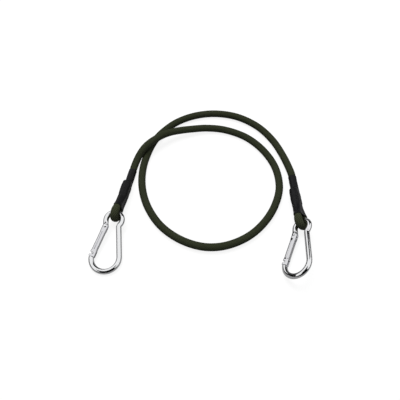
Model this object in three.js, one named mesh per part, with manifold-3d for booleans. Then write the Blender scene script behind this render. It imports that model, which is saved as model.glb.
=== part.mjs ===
// Bungee cord: one length of braided elastic cord with a spring hook on each end,
// lying in a loop that crosses over itself. Millimetres, +Z up. The origin is on the
// surface that the cord lies on, under the middle of its two hooks and sleeves.
//
// At each end the cord is folded back over the hook's eye. Two crimp bands hold the
// tail on the standing part, and a shrunk sleeve covers the bands and the tail's end.
// Each hook is a pear-shaped wire frame with a sprung gate that opens inwards.
import * as THREE from 'three';
import { mergeVertices } from 'three/addons/utils/BufferGeometryUtils.js';
import Module from 'manifold-3d';

const wasm = await Module();
wasm.setup();

// Clearances
const running_gap = 0.3;
const seat_gap = 0.2;
const cut_overrun = 1.5;
const weld_tolerance = 1e-4;

// Elastic cord
const cord_diameter = 8;
const braid_wall = 1;
const cord_step = 17;

// Folded end of the cord
const squeezed_diameter = 6.4;
const sleeved_diameter = 7.2;
const fold_length = 22;
const squeeze_length = 9;
const tail_length = 39;

// Sleeve and crimp bands
const mouth_distance = 6.5;
const sleeve_length = 54;
const sleeve_wall = 0.6;
const step_length = 6;
const band_wall = 0.5;
const band_width = 4.5;

// Wire frame of the hook
const hook_length = 70;
const hook_width = 34;
const eye_width = 22.6;
const wire_diameter = 5.6;
const kink_radius = 4;
const hinge_stub = 7;

// Hinge and nose of the frame
const tang_thickness = 2.4;
const tang_radius = 2.7;
const cam_height = 2.1;
const tongue_thickness = 2.2;
const tongue_width = 3.8;
const tongue_tip = 2;
const nose_gap = 0.45;

// Gate
const gate_thickness = 6;
const gate_tube_width = 5.4;
const gate_corner = 1.7;
const ear_radius = 3.2;
const ear_gap = 0.35;
const ear_length = 5;
const ear_taper = 2;
const claw_width = 6.6;
const claw_lip = 3.2;
const claw_taper = 1.4;
const claw_neck = 3;

// Hinge rivet and nose pin
const rivet_diameter = 2;
const rivet_head_diameter = 3.8;
const rivet_head_height = 0.6;
const nose_pin_diameter = 1.6;

// Gate spring and its plunger
const bore_end_wall = 7;
const spring_wire_diameter = 0.6;
const spring_pitch = 1.5;
const plunger_diameter = 3;
const plunger_tip_diameter = 2;
const plunger_length = 3;
const guide_length = 2;

// Angles, in degrees
const kink_angle = -32;
const nose_angle = 183.5;
const nose_lead = 10;
const eye_end_angle = 190;
const ear_angles = [70, 50, 30, 15, 0];

// Where the eyes are held, and how each hook and sleeve lies on the surface
const ends = {
  left: {
    contact: [-88.4, -23.3, 12],
    yaw: -8.3,
    pitch: 8.2,
    roll: 0,
    contact_angle: 4,
    sleeve_heading: 11.5,
    sleeve_roll: 0,
  },
  right: {
    contact: [106.4, -33.1, 11.45],
    yaw: -13.8,
    pitch: -0.8,
    roll: -43.6,
    contact_angle: -12,
    sleeve_heading: -4,
    sleeve_roll: 30,
  },
};

// Route of the cord's free stretch between its sleeves, point by point: a hump over
// the other strand, once round clockwise, under the hump and out to the right
const cord_route = [
  [-74.6, 43.8, 5.1], [-73, 48.5, 6.2], [-70.8, 53.4, 8], [-67.6, 58.8, 10.3],
  [-63.9, 64, 12], [-59.7, 68.8, 12.8], [-52.5, 75.5, 12.9], [-43.9, 82.4, 12.3],
  [-34.9, 87.8, 10.9], [-23.8, 92.3, 8.9], [-11.7, 95.9, 7], [8.4, 99.5, 4.8],
  [29.9, 97.3, 4.1], [54.4, 86.1, 4.1], [73.2, 67.2, 4.1], [85.8, 42, 4.1],
  [88.4, 14.5, 4.1], [81.5, -9.5, 4.1], [69.4, -29.5, 4.1], [53.6, -45.2, 4.1],
  [35.6, -55.2, 4.1], [18.4, -59.6, 4.1], [0.5, -58.9, 4.1], [-21.5, -50.6, 4.1],
  [-42.1, -34.2, 4.1], [-57.3, -10.1, 4.1], [-64.5, 15.1, 4.1], [-65, 40.5, 4.1],
  [-60.5, 62.5, 4.1], [-54.2, 79.4, 4.1], [-45.6, 92.8, 4.1], [-28.1, 109.5, 4.1],
  [-5.9, 120, 4.1], [18.6, 123.4, 4.1], [45.1, 118.3, 4.1], [69.1, 103.2, 4.1],
  [86.1, 81.6, 4.1], [97.2, 55.8, 4.3],
];

// Facets
const cord_sides = 12;
const core_sides = 8;
const eye_sides = 10;
const wire_sides = 12;
const wire_steps = 56;
const pin_sides = 12;
const spring_sides = 5;
const spring_steps = 8;
const half_section_points = 6;
const leg_steps = 8;
const fold_steps = 8;
const mouth_steps = 5;
const step_shares = [0.35, 0.7, 1];
const corner_points = 4;
const route_divisions = 2000;

const X = new THREE.Vector3(1, 0, 0);
const Z = new THREE.Vector3(0, 0, 1);
const degrees = THREE.MathUtils.degToRad;
const point = (x, y, z = 0) => new THREE.Vector3(x, y, z);
const along = (base, direction, distance) => base.clone().addScaledVector(direction, distance);

// Solids

// A closed solid from rings of points, each ring anticlockwise seen from the next one.
// Inner rings make it a tube with an open bore.
function loft(rings, bores = null) {
  const sides = rings[0].length;
  const places = [...rings, ...(bores ?? [])].flat();
  const triangles = [];
  const quad = (a, b, c, d) => triangles.push(a, b, c, a, c, d);
  const skin = (first, ahead) => {
    for (let ring = 0; ring < rings.length - 1; ring += 1) {
      for (let side = 0; side < sides; side += 1) {
        const next = (side + 1) % sides;
        const here = first + ring * sides;
        const there = here + sides;
        if (ahead) quad(here + side, here + next, there + next, there + side);
        else quad(here + side, there + side, there + next, here + next);
      }
    }
  };
  const last = (rings.length - 1) * sides;
  skin(0, true);
  if (bores) {
    const inner = rings.length * sides;
    skin(inner, false);
    for (let side = 0; side < sides; side += 1) {
      const next = (side + 1) % sides;
      quad(side, inner + side, inner + next, next);
      quad(last + side, last + next, inner + last + next, inner + last + side);
    }
  } else {
    for (let side = 1; side < sides - 1; side += 1) {
      triangles.push(0, side + 1, side);
      triangles.push(last, last + side, last + side + 1);
    }
  }
  const geometry = new THREE.BufferGeometry().setFromPoints(places);
  geometry.setIndex(triangles);
  geometry.computeVertexNormals();
  return geometry;
}

function toSolid(geometry) {
  const bare = geometry.clone();
  bare.deleteAttribute('normal');
  bare.deleteAttribute('uv');
  const merged = mergeVertices(bare, weld_tolerance);
  return new wasm.Manifold(new wasm.Mesh({
    numProp: 3,
    vertProperties: new Float32Array(merged.attributes.position.array),
    triVerts: new Uint32Array(merged.index.array),
  }));
}

function toGeometry(solid) {
  const mesh = solid.getMesh();
  const geometry = new THREE.BufferGeometry();
  geometry.setAttribute('position', new THREE.BufferAttribute(mesh.vertProperties, 3));
  geometry.setIndex(new THREE.BufferAttribute(mesh.triVerts, 1));
  geometry.computeVertexNormals();
  return geometry;
}

// A round bar centred on a place, lying along Z
function bar(radius, length, x = 0, y = 0) {
  return new THREE.CylinderGeometry(radius, radius, length, pin_sides).rotateX(Math.PI / 2)
    .translate(x, y, 0);
}

// A block between two corners in the XY plane, of one thickness across it
function block(x0, y0, x1, y1, thickness) {
  return new THREE.BoxGeometry(x1 - x0, y1 - y0, thickness)
    .translate((x0 + x1) / 2, (y0 + y1) / 2, 0);
}

// A turned piece from radii and places along +Y
function turned(profile) {
  return new THREE.LatheGeometry(profile.map(([radius, y]) => new THREE.Vector2(radius, y)), pin_sides);
}

function part(name, geometry, material) {
  const mesh = new THREE.Mesh(geometry, material);
  mesh.name = name;
  return mesh;
}

const finish = (color, roughness, metalness = 0) => () => (
  new THREE.MeshStandardMaterial({ color, roughness, metalness }));
const braid = finish(0x2b3018, 0.9);
const rubber = finish(0xb9a878, 0.8);
const shrink = finish(0x1f1f21, 0.6);
const plated = finish(0xc9ccd0, 0.22, 1);
const band_steel = finish(0x9a9da1, 0.4, 1);
const spring_steel = finish(0x77797d, 0.35, 1);

// Sizes that follow from the driving dimensions

const cord_radius = cord_diameter / 2;
const wire_radius = wire_diameter / 2;
const bow_radius = (hook_width - wire_diameter) / 2;
const eye_radius = (eye_width - wire_diameter) / 2;
const eye_height = hook_length - hook_width / 2 - eye_width / 2;
const slot_depth = tang_radius + 2 * running_gap;
const bore_diameter = plunger_diameter + 2 * running_gap;
const guide_diameter = plunger_diameter - 2 * spring_wire_diameter - 2 * running_gap;
const plunger_shoulder = slot_depth + 2 * running_gap;
const fold_radius = wire_radius + running_gap + cord_radius;
const leg_spacing = squeezed_diameter + running_gap;
const band_inner = squeezed_diameter / 2 + running_gap;
const band_outer = band_inner + band_wall;
const sleeve_inner = band_outer + running_gap;
const sleeve_outer = sleeve_inner + sleeve_wall;
const neck_inner = sleeved_diameter / 2 + running_gap;
const neck_outer = neck_inner + sleeve_wall;
const flat_share = Math.cos(Math.PI / half_section_points / 2);
const leg_height = sleeve_outer * flat_share;
const sleeve_end = mouth_distance + sleeve_length;
const band_spacing = (tail_length - fold_length - 2 * band_width) / 3;
const inner_band = fold_length + band_spacing;
const outer_band = inner_band + band_width + band_spacing;
const step_start = tail_length + running_gap;
const step_end = step_start + step_length;

// Hook frame, drawn flat: the bow's centre at 0, 0 and the eye's above it

const ray = (angle) => point(Math.cos(angle), Math.sin(angle));
const angleOf = (vector) => Math.atan2(vector.y, vector.x);

// The wire leaves the eye in a kink, an arc the other way round, whose far side runs
// straight into the spine. The spine is the line that touches both kink and bow.
const eye_centre = point(0, eye_height);
const to_kink = ray(degrees(kink_angle));
const kink_centre = along(eye_centre, to_kink, eye_radius + kink_radius);
const kink_start = along(eye_centre, to_kink, eye_radius);
const spine_turn = Math.acos((bow_radius + kink_radius) / kink_centre.length());
const spine_slant = angleOf(kink_centre) - spine_turn;
const out_of_spine = ray(spine_slant);
const bow_end = out_of_spine.clone().multiplyScalar(bow_radius);
const spine_top = along(kink_centre, out_of_spine, -kink_radius);

class PlanarArc extends THREE.Curve {
  constructor(centre, radius, from, to) {
    super();
    Object.assign(this, { centre, radius, from, to });
  }

  getPoint(share, target = new THREE.Vector3()) {
    const angle = this.from + (this.to - this.from) * share;
    return target.set(Math.cos(angle), Math.sin(angle), 0).multiplyScalar(this.radius)
      .add(this.centre);
  }
}

const eye_end = degrees(eye_end_angle);
const stub_start = along(eye_centre, ray(eye_end), eye_radius);
const hinge = along(stub_start, ray(eye_end + Math.PI / 2), hinge_stub);
const nose = ray(degrees(nose_angle)).multiplyScalar(bow_radius);
const gate_reach = hinge.distanceTo(nose);
const gate_turn = angleOf(nose.clone().sub(hinge)) - Math.PI / 2;
const gate_end = gate_reach - nose_gap;
const pin_place = gate_end - claw_lip;
const bore_depth = pin_place - tongue_tip - running_gap - bore_end_wall;

function wirePath() {
  const path = new THREE.CurvePath();
  const half_turn = Math.PI;
  path.add(new PlanarArc(point(0, 0), bow_radius, degrees(nose_angle - nose_lead),
    spine_slant + 2 * half_turn));
  path.add(new THREE.LineCurve3(bow_end, spine_top));
  path.add(new PlanarArc(kink_centre, kink_radius, spine_slant + half_turn,
    degrees(kink_angle) + half_turn));
  path.add(new PlanarArc(eye_centre, eye_radius, degrees(kink_angle), eye_end));
  path.add(new THREE.LineCurve3(stub_start, hinge));
  return path;
}

const roundShape = (radius) => new THREE.Shape().absarc(0, 0, radius, 0, 2 * Math.PI);

// From the gate's own axes, with the hinge at 0, 0 and +Y towards the nose
const inGateAxes = (geometry) => geometry.rotateZ(gate_turn).translate(hinge.x, hinge.y, 0);

function hookFrame() {
  const wire = new THREE.ExtrudeGeometry(roundShape(wire_radius), {
    steps: wire_steps,
    curveSegments: wire_sides / 2,
    extrudePath: wirePath(),
  });
  const tall = wire_diameter + cut_overrun;
  const tang_length = ear_radius + ear_gap + cut_overrun;
  const tang_plate = block(-tang_radius, 0, tang_radius, tang_length, tang_thickness)
    .rotateZ(eye_end + Math.PI).translate(hinge.x, hinge.y, 0);
  const cam_cut = block(-hook_width, cam_height, hook_width, hook_width, tang_thickness + cut_overrun);
  const nose_cut = block(-wire_diameter, pin_place - tongue_tip, wire_diameter, gate_reach, tall);
  const tongue = block(-tongue_width / 2, pin_place - tongue_tip, tongue_width / 2,
    gate_reach + cut_overrun, tongue_thickness);
  const tang = toSolid(tang_plate)
    .add(toSolid(bar(tang_radius, tang_thickness).translate(hinge.x, hinge.y, 0)))
    .subtract(toSolid(inGateAxes(cam_cut)));
  return toGeometry(toSolid(wire)
    .subtract(toSolid(bar(ear_radius + ear_gap, tall).translate(hinge.x, hinge.y, 0)))
    .subtract(toSolid(inGateAxes(nose_cut)))
    .add(tang)
    .subtract(toSolid(bar(rivet_diameter / 2 + seat_gap, tall).translate(hinge.x, hinge.y, 0)))
    .add(toSolid(inGateAxes(tongue)))
    .subtract(toSolid(inGateAxes(bar(nose_pin_diameter / 2 + seat_gap, tall, 0, pin_place)))));
}

// Gate and what it holds, in the gate's own axes

// A rounded oblong across the gate, anticlockwise seen from the nose
function gateRing(y, width, thickness) {
  const corner = Math.min(gate_corner, width / 2, thickness / 2);
  const ring = [];
  for (let quarter = 0; quarter < 4; quarter += 1) {
    const right = quarter === 0 || quarter === 3 ? 1 : -1;
    const top = quarter < 2 ? 1 : -1;
    for (let step = 0; step < corner_points; step += 1) {
      const angle = (quarter + step / (corner_points - 1)) * Math.PI / 2;
      const x = right * (width / 2 - corner) + corner * Math.cos(angle);
      const z = top * (thickness / 2 - corner) + corner * Math.sin(angle);
      ring.push(point(x, y, z));
    }
  }
  return ring.reverse();
}

function gateBody() {
  const rings = [];
  for (const angle of ear_angles) {
    const back = ear_radius * Math.sin(degrees(angle));
    rings.push(gateRing(-back, 2 * ear_radius * Math.cos(degrees(angle)), gate_thickness));
  }
  const claw_start = pin_place - claw_neck;
  rings.push(gateRing(ear_length, 2 * ear_radius, gate_thickness));
  rings.push(gateRing(ear_length + ear_taper, gate_tube_width, gate_tube_width));
  rings.push(gateRing(claw_start - claw_taper, gate_tube_width, gate_tube_width));
  rings.push(gateRing(claw_start, claw_width, gate_thickness));
  rings.push(gateRing(gate_end, claw_width, gate_thickness));
  const wide = claw_width + cut_overrun;
  const deep = gate_thickness + cut_overrun;
  const ear_slot = tang_thickness + 2 * running_gap;
  const nose_slot = tongue_thickness + 2 * running_gap;
  const notch = nose_pin_diameter / 2 + ear_gap;
  const bore = turned([[0, 0], [bore_diameter / 2, 0], [bore_diameter / 2, bore_depth], [0, bore_depth]]);
  return toGeometry(toSolid(loft(rings))
    .subtract(toSolid(block(-wide, -wide, wide, slot_depth, ear_slot)))
    .subtract(toSolid(bore))
    .subtract(toSolid(bar(rivet_diameter / 2 + running_gap, deep)))
    .subtract(toSolid(block(-wide, pin_place - tongue_tip - running_gap, wide, gate_reach, nose_slot)))
    .subtract(toSolid(bar(notch, deep, 0, pin_place)))
    .subtract(toSolid(block(0, pin_place - notch, wide, pin_place + notch, deep))));
}

// A round-headed rivet with its shank along Z
function hingeRivet() {
  const face = gate_thickness / 2 + seat_gap;
  const crown = face + rivet_head_height;
  const head = rivet_head_diameter / 2;
  const shank = rivet_diameter / 2;
  return turned([
    [0, -crown], [head / 2, -crown], [head, -face - rivet_head_height / 3], [head, -face], [shank, -face],
    [shank, face], [head, face], [head, face + rivet_head_height / 3], [head / 2, crown], [0, crown],
  ]).rotateX(Math.PI / 2);
}

function springPlunger() {
  const tip = cam_height + running_gap;
  const foot = plunger_shoulder + plunger_length;
  return turned([
    [0, tip], [plunger_tip_diameter / 2, tip], [plunger_tip_diameter / 2, plunger_shoulder],
    [plunger_diameter / 2, plunger_shoulder], [plunger_diameter / 2, foot],
    [guide_diameter / 2, foot], [guide_diameter / 2, foot + guide_length], [0, foot + guide_length],
  ]);
}

// One unbroken wire wound along +Y between the plunger's foot and the bore's end
function gateSpring() {
  const wire = spring_wire_diameter / 2;
  const radius = plunger_diameter / 2 - wire;
  const start = plunger_shoulder + plunger_length + running_gap + wire;
  const length = bore_depth - running_gap - wire - start;
  const steps = Math.round(length / spring_pitch) * spring_steps;
  const rings = [];
  for (let step = 0; step <= steps; step += 1) {
    const turn = 2 * Math.PI * step / spring_steps;
    const outward = point(Math.cos(turn), 0, Math.sin(turn));
    const centre = along(point(0, start + length * step / steps), outward, radius);
    const ring = [];
    for (let side = 0; side < spring_sides; side += 1) {
      const angle = 2 * Math.PI * side / spring_sides;
      ring.push(along(along(centre, outward, wire * Math.cos(angle)), point(0, 1), wire * Math.sin(angle)));
    }
    rings.push(ring);
  }
  return loft(rings);
}

// How an end lies: the hook's axes, and the cord's fold over the eye's wire

function endFrame(end) {
  const turn = new THREE.Matrix4().makeRotationZ(degrees(end.yaw))
    .multiply(new THREE.Matrix4().makeRotationX(degrees(end.pitch)))
    .multiply(new THREE.Matrix4().makeRotationY(degrees(end.roll)));
  const [across, lengthwise, normal] = [point(1, 0), point(0, 1), point(0, 0, 1)]
    .map((axis) => axis.applyMatrix4(turn));
  const angle = degrees(end.contact_angle);
  const radial = along(lengthwise.clone().multiplyScalar(Math.cos(angle)), across, Math.sin(angle));
  const contact = point(...end.contact);
  // The cord leaves the eye level, so its fold is swung out of the hook's own plane
  const swing = Math.atan2(radial.z, normal.z);
  const outward = along(radial.clone().multiplyScalar(Math.cos(swing)), normal, -Math.sin(swing));
  const upward = along(radial.clone().multiplyScalar(Math.sin(swing)), normal, Math.cos(swing));
  const heading = degrees(end.sleeve_heading);
  const lean = degrees(end.sleeve_roll);
  const sleeve_outward = point(Math.sin(heading), Math.cos(heading));
  const sleeve_side = sleeve_outward.clone().cross(Z);
  const sleeve_upward = along(Z.clone().multiplyScalar(Math.cos(lean)), sleeve_side, -Math.sin(lean));
  const middle_height = leg_height + leg_spacing / 2 * sleeve_upward.z;
  return {
    turn,
    contact,
    outward,
    upward,
    sleeve_outward,
    sleeve_upward,
    side: sleeve_outward.clone().cross(sleeve_upward),
    middle: point(contact.x, contact.y, middle_height),
    eye: along(contact, radial, -eye_radius),
  };
}

const smooth = (share) => {
  const held = Math.min(1, Math.max(0, share));
  return held * held * (3 - 2 * held);
};

// Centre of a leg of the fold at a distance from the eye's wire: side -1 is the
// standing part, which runs on through the sleeve, and side 1 is the tail
function legCentre(frame, side, distance) {
  const at_fold = along(along(frame.contact, frame.upward, side * fold_radius), frame.outward, distance);
  const in_sleeve = along(along(frame.middle, frame.sleeve_upward, side * leg_spacing / 2),
    frame.sleeve_outward, distance);
  return at_fold.lerp(in_sleeve, smooth(distance / fold_length));
}

function legRadius(distance) {
  const squeezed = squeezed_diameter / 2;
  const before = cord_radius + (squeezed - cord_radius) * smooth(distance / squeeze_length);
  return before + (sleeved_diameter / 2 - squeezed) * smooth((distance - step_start) / step_length);
}

// The folded cord from the sleeve's far end, over the eye's wire and back to the tail's end
function foldedCord(frame) {
  const leg_places = [];
  for (let step = 0; step <= leg_steps; step += 1) leg_places.push(fold_length * step / leg_steps);
  const centres = [];
  const radii = [];
  const add = (centre, radius) => {
    centres.push(centre);
    radii.push(radius);
  };
  for (const distance of [sleeve_end, step_end, step_start]) {
    add(legCentre(frame, -1, distance), legRadius(distance));
  }
  for (const distance of leg_places.toReversed()) {
    add(legCentre(frame, -1, distance), legRadius(distance));
  }
  for (let step = 1; step < fold_steps; step += 1) {
    const angle = Math.PI * (step / fold_steps - 0.5);
    const radial = along(frame.upward.clone().multiplyScalar(Math.sin(angle)),
      frame.outward, -Math.cos(angle));
    add(along(frame.contact, radial, fold_radius), cord_radius);
  }
  for (const distance of leg_places) {
    add(legCentre(frame, 1, distance), legRadius(distance));
  }
  add(legCentre(frame, 1, tail_length), legRadius(tail_length));
  return { centres, radii };
}

// Round rings square to a line of centres that lies near one plane
function ringsAlong(centres, radii, side, sides) {
  return centres.map((centre, index) => {
    const before = centres[Math.max(0, index - 1)];
    const after = centres[Math.min(centres.length - 1, index + 1)];
    const forward = after.clone().sub(before).normalize();
    const up = forward.clone().cross(side).normalize();
    const across = up.clone().cross(forward);
    const ring = [];
    for (let step = 0; step < sides; step += 1) {
      const angle = 2 * Math.PI * step / sides;
      ring.push(along(along(centre, across, radii[index] * Math.cos(angle)),
        up, radii[index] * Math.sin(angle)));
    }
    return ring;
  });
}

// An oblong with round ends over both legs. As merge goes to 1 it closes on the standing one.
function legRing(frame, distance, radius, merge = 0) {
  const lower = legCentre(frame, -1, distance);
  const upper = legCentre(frame, 1, distance);
  const side = upper.clone().sub(lower).cross(frame.sleeve_outward).normalize();
  const rise = frame.sleeve_outward.clone().cross(side);
  upper.lerp(lower, merge);
  const ring = [];
  for (const [centre, turn] of [[lower, Math.PI], [upper, 0]]) {
    for (let step = 0; step < half_section_points; step += 1) {
      const angle = turn + Math.PI * (step + 0.5) / half_section_points;
      ring.push(along(along(centre, side, radius * Math.cos(angle)), rise, radius * Math.sin(angle)));
    }
  }
  return ring;
}

function sleeveBody(frame) {
  const outer = [];
  const inner = [];
  const add = (distance, merge) => {
    outer.push(legRing(frame, distance, sleeve_outer + (neck_outer - sleeve_outer) * merge, merge));
    inner.push(legRing(frame, distance, sleeve_inner + (neck_inner - sleeve_inner) * merge, merge));
  };
  for (let step = 0; step <= mouth_steps; step += 1) {
    add(mouth_distance + (fold_length - mouth_distance) * step / mouth_steps, 0);
  }
  add(step_start, 0);
  for (const share of step_shares) add(step_start + share * step_length, smooth(share));
  add(sleeve_end, 1);
  return loft(outer, inner);
}

function crimpBand(frame, distance) {
  const rings = (radius) => [distance, distance + band_width].map((place) => legRing(frame, place, radius));
  return loft(rings(band_outer), rings(band_inner));
}

// Assembly

const layout = new THREE.Group();
const fittings = new THREE.Group();
layout.add(fittings);
const frames = { left: endFrame(ends.left), right: endFrame(ends.right) };
for (const [name, frame] of Object.entries(frames)) {
  const { centres, radii } = foldedCord(frame);
  const sheath_bores = radii.map((radius) => radius - braid_wall);
  const core_radii = sheath_bores.map((radius) => radius - running_gap);
  const side = frame.side;
  fittings.add(
    part(`${name}_eye_sheath`, loft(ringsAlong(centres, radii, side, eye_sides),
      ringsAlong(centres, sheath_bores, side, eye_sides)), braid()),
    part(`${name}_eye_core`, loft(ringsAlong(centres, core_radii, side, core_sides)), rubber()),
    part(`${name}_sleeve`, sleeveBody(frame), shrink()),
    part(`${name}_inner_crimp`, crimpBand(frame, inner_band), band_steel()),
    part(`${name}_outer_crimp`, crimpBand(frame, outer_band), band_steel()),
  );
  const hook = new THREE.Group();
  hook.position.copy(frame.eye);
  hook.quaternion.setFromRotationMatrix(frame.turn);
  const flat_hook = new THREE.Group();
  flat_hook.position.y = -eye_height;
  hook.add(flat_hook);
  const gate = new THREE.Group();
  gate.position.copy(hinge);
  gate.rotation.z = gate_turn;
  flat_hook.add(part(`${name}_hook_frame`, hookFrame(), plated()), gate);
  gate.add(
    part(`${name}_gate`, gateBody(), plated()),
    part(`${name}_hinge_rivet`, hingeRivet(), plated()),
    part(`${name}_nose_pin`, bar(nose_pin_diameter / 2, gate_thickness - seat_gap, 0, pin_place), plated()),
    part(`${name}_spring_plunger`, springPlunger(), spring_steel()),
    part(`${name}_gate_spring`, gateSpring(), spring_steel()),
  );
  fittings.add(hook);
}

// The free stretch leaves each sleeve straight and square
function freeCord() {
  const way_out = (frame, distance) => legCentre(frame, -1, sleeve_end + distance);
  const straight = cord_diameter / 2;
  const route = [
    way_out(frames.left, running_gap), way_out(frames.left, running_gap + straight),
    ...cord_route.map((place) => point(...place)),
    way_out(frames.right, running_gap + straight), way_out(frames.right, running_gap),
  ];
  return new THREE.CatmullRomCurve3(route, false, 'centripetal');
}

function cordTube(path, shape, sides) {
  return new THREE.ExtrudeGeometry(shape, {
    steps: Math.round(path.getLength() / cord_step),
    curveSegments: sides / 2,
    extrudePath: path,
  });
}

const free_path = freeCord();
free_path.arcLengthDivisions = route_divisions;
const sheath_shape = roundShape(cord_radius);
sheath_shape.holes.push(roundShape(cord_radius - braid_wall));
const core_shape = roundShape(cord_radius - braid_wall - running_gap);
layout.add(part('braided_sheath', cordTube(free_path, sheath_shape, cord_sides), braid()));
layout.add(part('rubber_core', cordTube(free_path, core_shape, core_sides), rubber()));

// The origin goes to the bottom centre of the hooks and sleeves
const bounds = new THREE.Box3().setFromObject(fittings, true);
const middle = bounds.getCenter(new THREE.Vector3());
layout.position.set(-middle.x, -middle.y, -bounds.min.z);

const bungee_cord = new THREE.Group();
bungee_cord.add(layout);
bungee_cord.updateMatrixWorld(true);

export default bungee_cord;
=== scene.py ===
"""Bungee cord: braided elastic cord in a crossing loop, with a sprung wire hook at each end.

Every piece is a surface worked out with numpy in metres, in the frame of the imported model.
"""

import math
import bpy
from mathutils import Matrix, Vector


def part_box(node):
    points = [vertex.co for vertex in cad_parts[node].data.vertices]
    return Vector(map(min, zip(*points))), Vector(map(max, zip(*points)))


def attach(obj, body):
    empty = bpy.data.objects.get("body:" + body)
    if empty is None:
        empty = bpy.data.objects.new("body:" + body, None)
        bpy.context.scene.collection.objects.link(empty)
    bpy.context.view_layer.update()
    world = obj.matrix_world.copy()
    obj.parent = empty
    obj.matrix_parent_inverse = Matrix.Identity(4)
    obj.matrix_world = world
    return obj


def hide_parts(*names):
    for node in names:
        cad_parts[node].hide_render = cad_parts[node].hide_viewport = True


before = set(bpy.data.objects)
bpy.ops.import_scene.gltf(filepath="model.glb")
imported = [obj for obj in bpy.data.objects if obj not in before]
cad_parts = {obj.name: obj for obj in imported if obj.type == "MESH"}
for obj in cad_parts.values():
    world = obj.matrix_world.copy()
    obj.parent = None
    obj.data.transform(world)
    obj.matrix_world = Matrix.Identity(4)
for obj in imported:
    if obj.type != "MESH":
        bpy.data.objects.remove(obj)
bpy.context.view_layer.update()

from types import SimpleNamespace

import bpy
import numpy as np
from mathutils import Vector

bl_info = {
    "name": "Bungee Cord",
    "version": (1, 0, 0),
    "blender": (4, 5, 0),
    "location": "View3D > Sidebar > Bungee Cord",
    "description": "Builds a braided bungee cord with two sprung wire hooks",
    "category": "Add Mesh",
}

MM = 0.001
SIDES = ("left", "right")

# Clearances
RUNNING_GAP = 0.3 * MM
SEAT_GAP = 0.2 * MM
CUT_OVERRUN = 1.5 * MM

# Folded end of the cord, flattened over the eye's wire: its size there, the lengths along its
# legs at which they lie in the sleeve, are squeezed and end, and its size in the sleeve's
# neck, where the free stretch begins
FOLDED_THICKNESS = 6.8 * MM
FOLDED_WIDTH = 8.8 * MM
FOLD_LENGTH = 22 * MM
SQUEEZE_LENGTH = 9 * MM
TAIL_LENGTH = 39 * MM
SLEEVED_DIAMETER = 7.2 * MM
NECK_INSET = 3.5 * MM
NECK_SWELL = 8 * MM
# How far the loose braid of the free stretch stands out from its nominal radius
BRAID_FULLNESS = 0.13 * MM

# Sleeve: where it begins and steps, the crimp bands under it, and its unevenness
MOUTH_DISTANCE = 6.5 * MM
STEP_LENGTH = 6 * MM
BAND_WALL = 0.5 * MM
BAND_WIDTH = 4.5 * MM
BAND_SINK = 0.32 * MM
BAND_EASE = 2 * MM
MOUTH_EASE = 5 * MM
SLEEVE_LUMPS = 0.16 * MM
LUMP_LENGTH = 9 * MM
LUMP_EASE = 3 * MM
LUMP_SEED = 11
SLEEVE_DRAW = 0.5 * MM
# Gap between the legs, in radii of the cord, from which the sides draw in fully
DRAW_GAP = 3
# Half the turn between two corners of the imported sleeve's round side, on whose flat it lies
SLEEVE_FACET = math.radians(15)

# Hook's wire frame
KINK_RADIUS = 4 * MM
HINGE_STUB = 7 * MM
KINK_ANGLE = math.radians(-32)
NOSE_ANGLE = math.radians(183.5)
NOSE_LEAD = math.radians(10)
EYE_END = math.radians(190)
TANG_THICKNESS = 2.4 * MM
TANG_RADIUS = 2.7 * MM
CAM_HEIGHT = 2.1 * MM
TONGUE_THICKNESS = 2.2 * MM
TONGUE_WIDTH = 3.8 * MM
TONGUE_TIP = 2 * MM
NOSE_GAP = 0.45 * MM

# Gate, rivet and nose pin
GATE_CORNER = 2.2 * MM
SEAM_WIDTH = 0.9 * MM
SEAM_DEPTH = 0.5 * MM
EAR_RADIUS = 3.2 * MM
EAR_GAP = 0.35 * MM
EAR_LENGTH = 5 * MM
EAR_TAPER = 2 * MM
CLAW_WIDTH = 6.6 * MM
CLAW_LIP = 3.2 * MM
CLAW_TAPER = 1.4 * MM
CLAW_NECK = 3 * MM
RIVET_DIAMETER = 2 * MM
RIVET_HEAD = 3.8 * MM
RIVET_CROWN = 0.6 * MM
RIVET_FACE = 0.96
RIVET_RIM = 0.12
NOSE_PIN = 1.6 * MM
BORE_DIAMETER = 3.6 * MM
BORE_END_WALL = 7 * MM
EDGE_ROUND = 0.14 * MM
EDGE_ANGLE = math.radians(40)
SHARP_ANGLE = math.radians(48)

# Rubber core: its strands, and how deep the grooves between them go into its half sizes
CORE_STRANDS = 10
CORE_GROOVE = 0.08

# How each end lies: the wire's contact with the cord, and the hook's and sleeve's turns
ENDS = {
    "left": SimpleNamespace(contact=(-0.0884, -0.0233, 0.012), yaw=-8.3, pitch=8.2, roll=0,
                            contact_angle=4, sleeve_heading=11.5, sleeve_roll=0),
    "right": SimpleNamespace(contact=(0.1064, -0.0331, 0.01145), yaw=-13.8, pitch=-0.8, roll=-43.6,
                             contact_angle=-12, sleeve_heading=-4, sleeve_roll=30),
}

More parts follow.
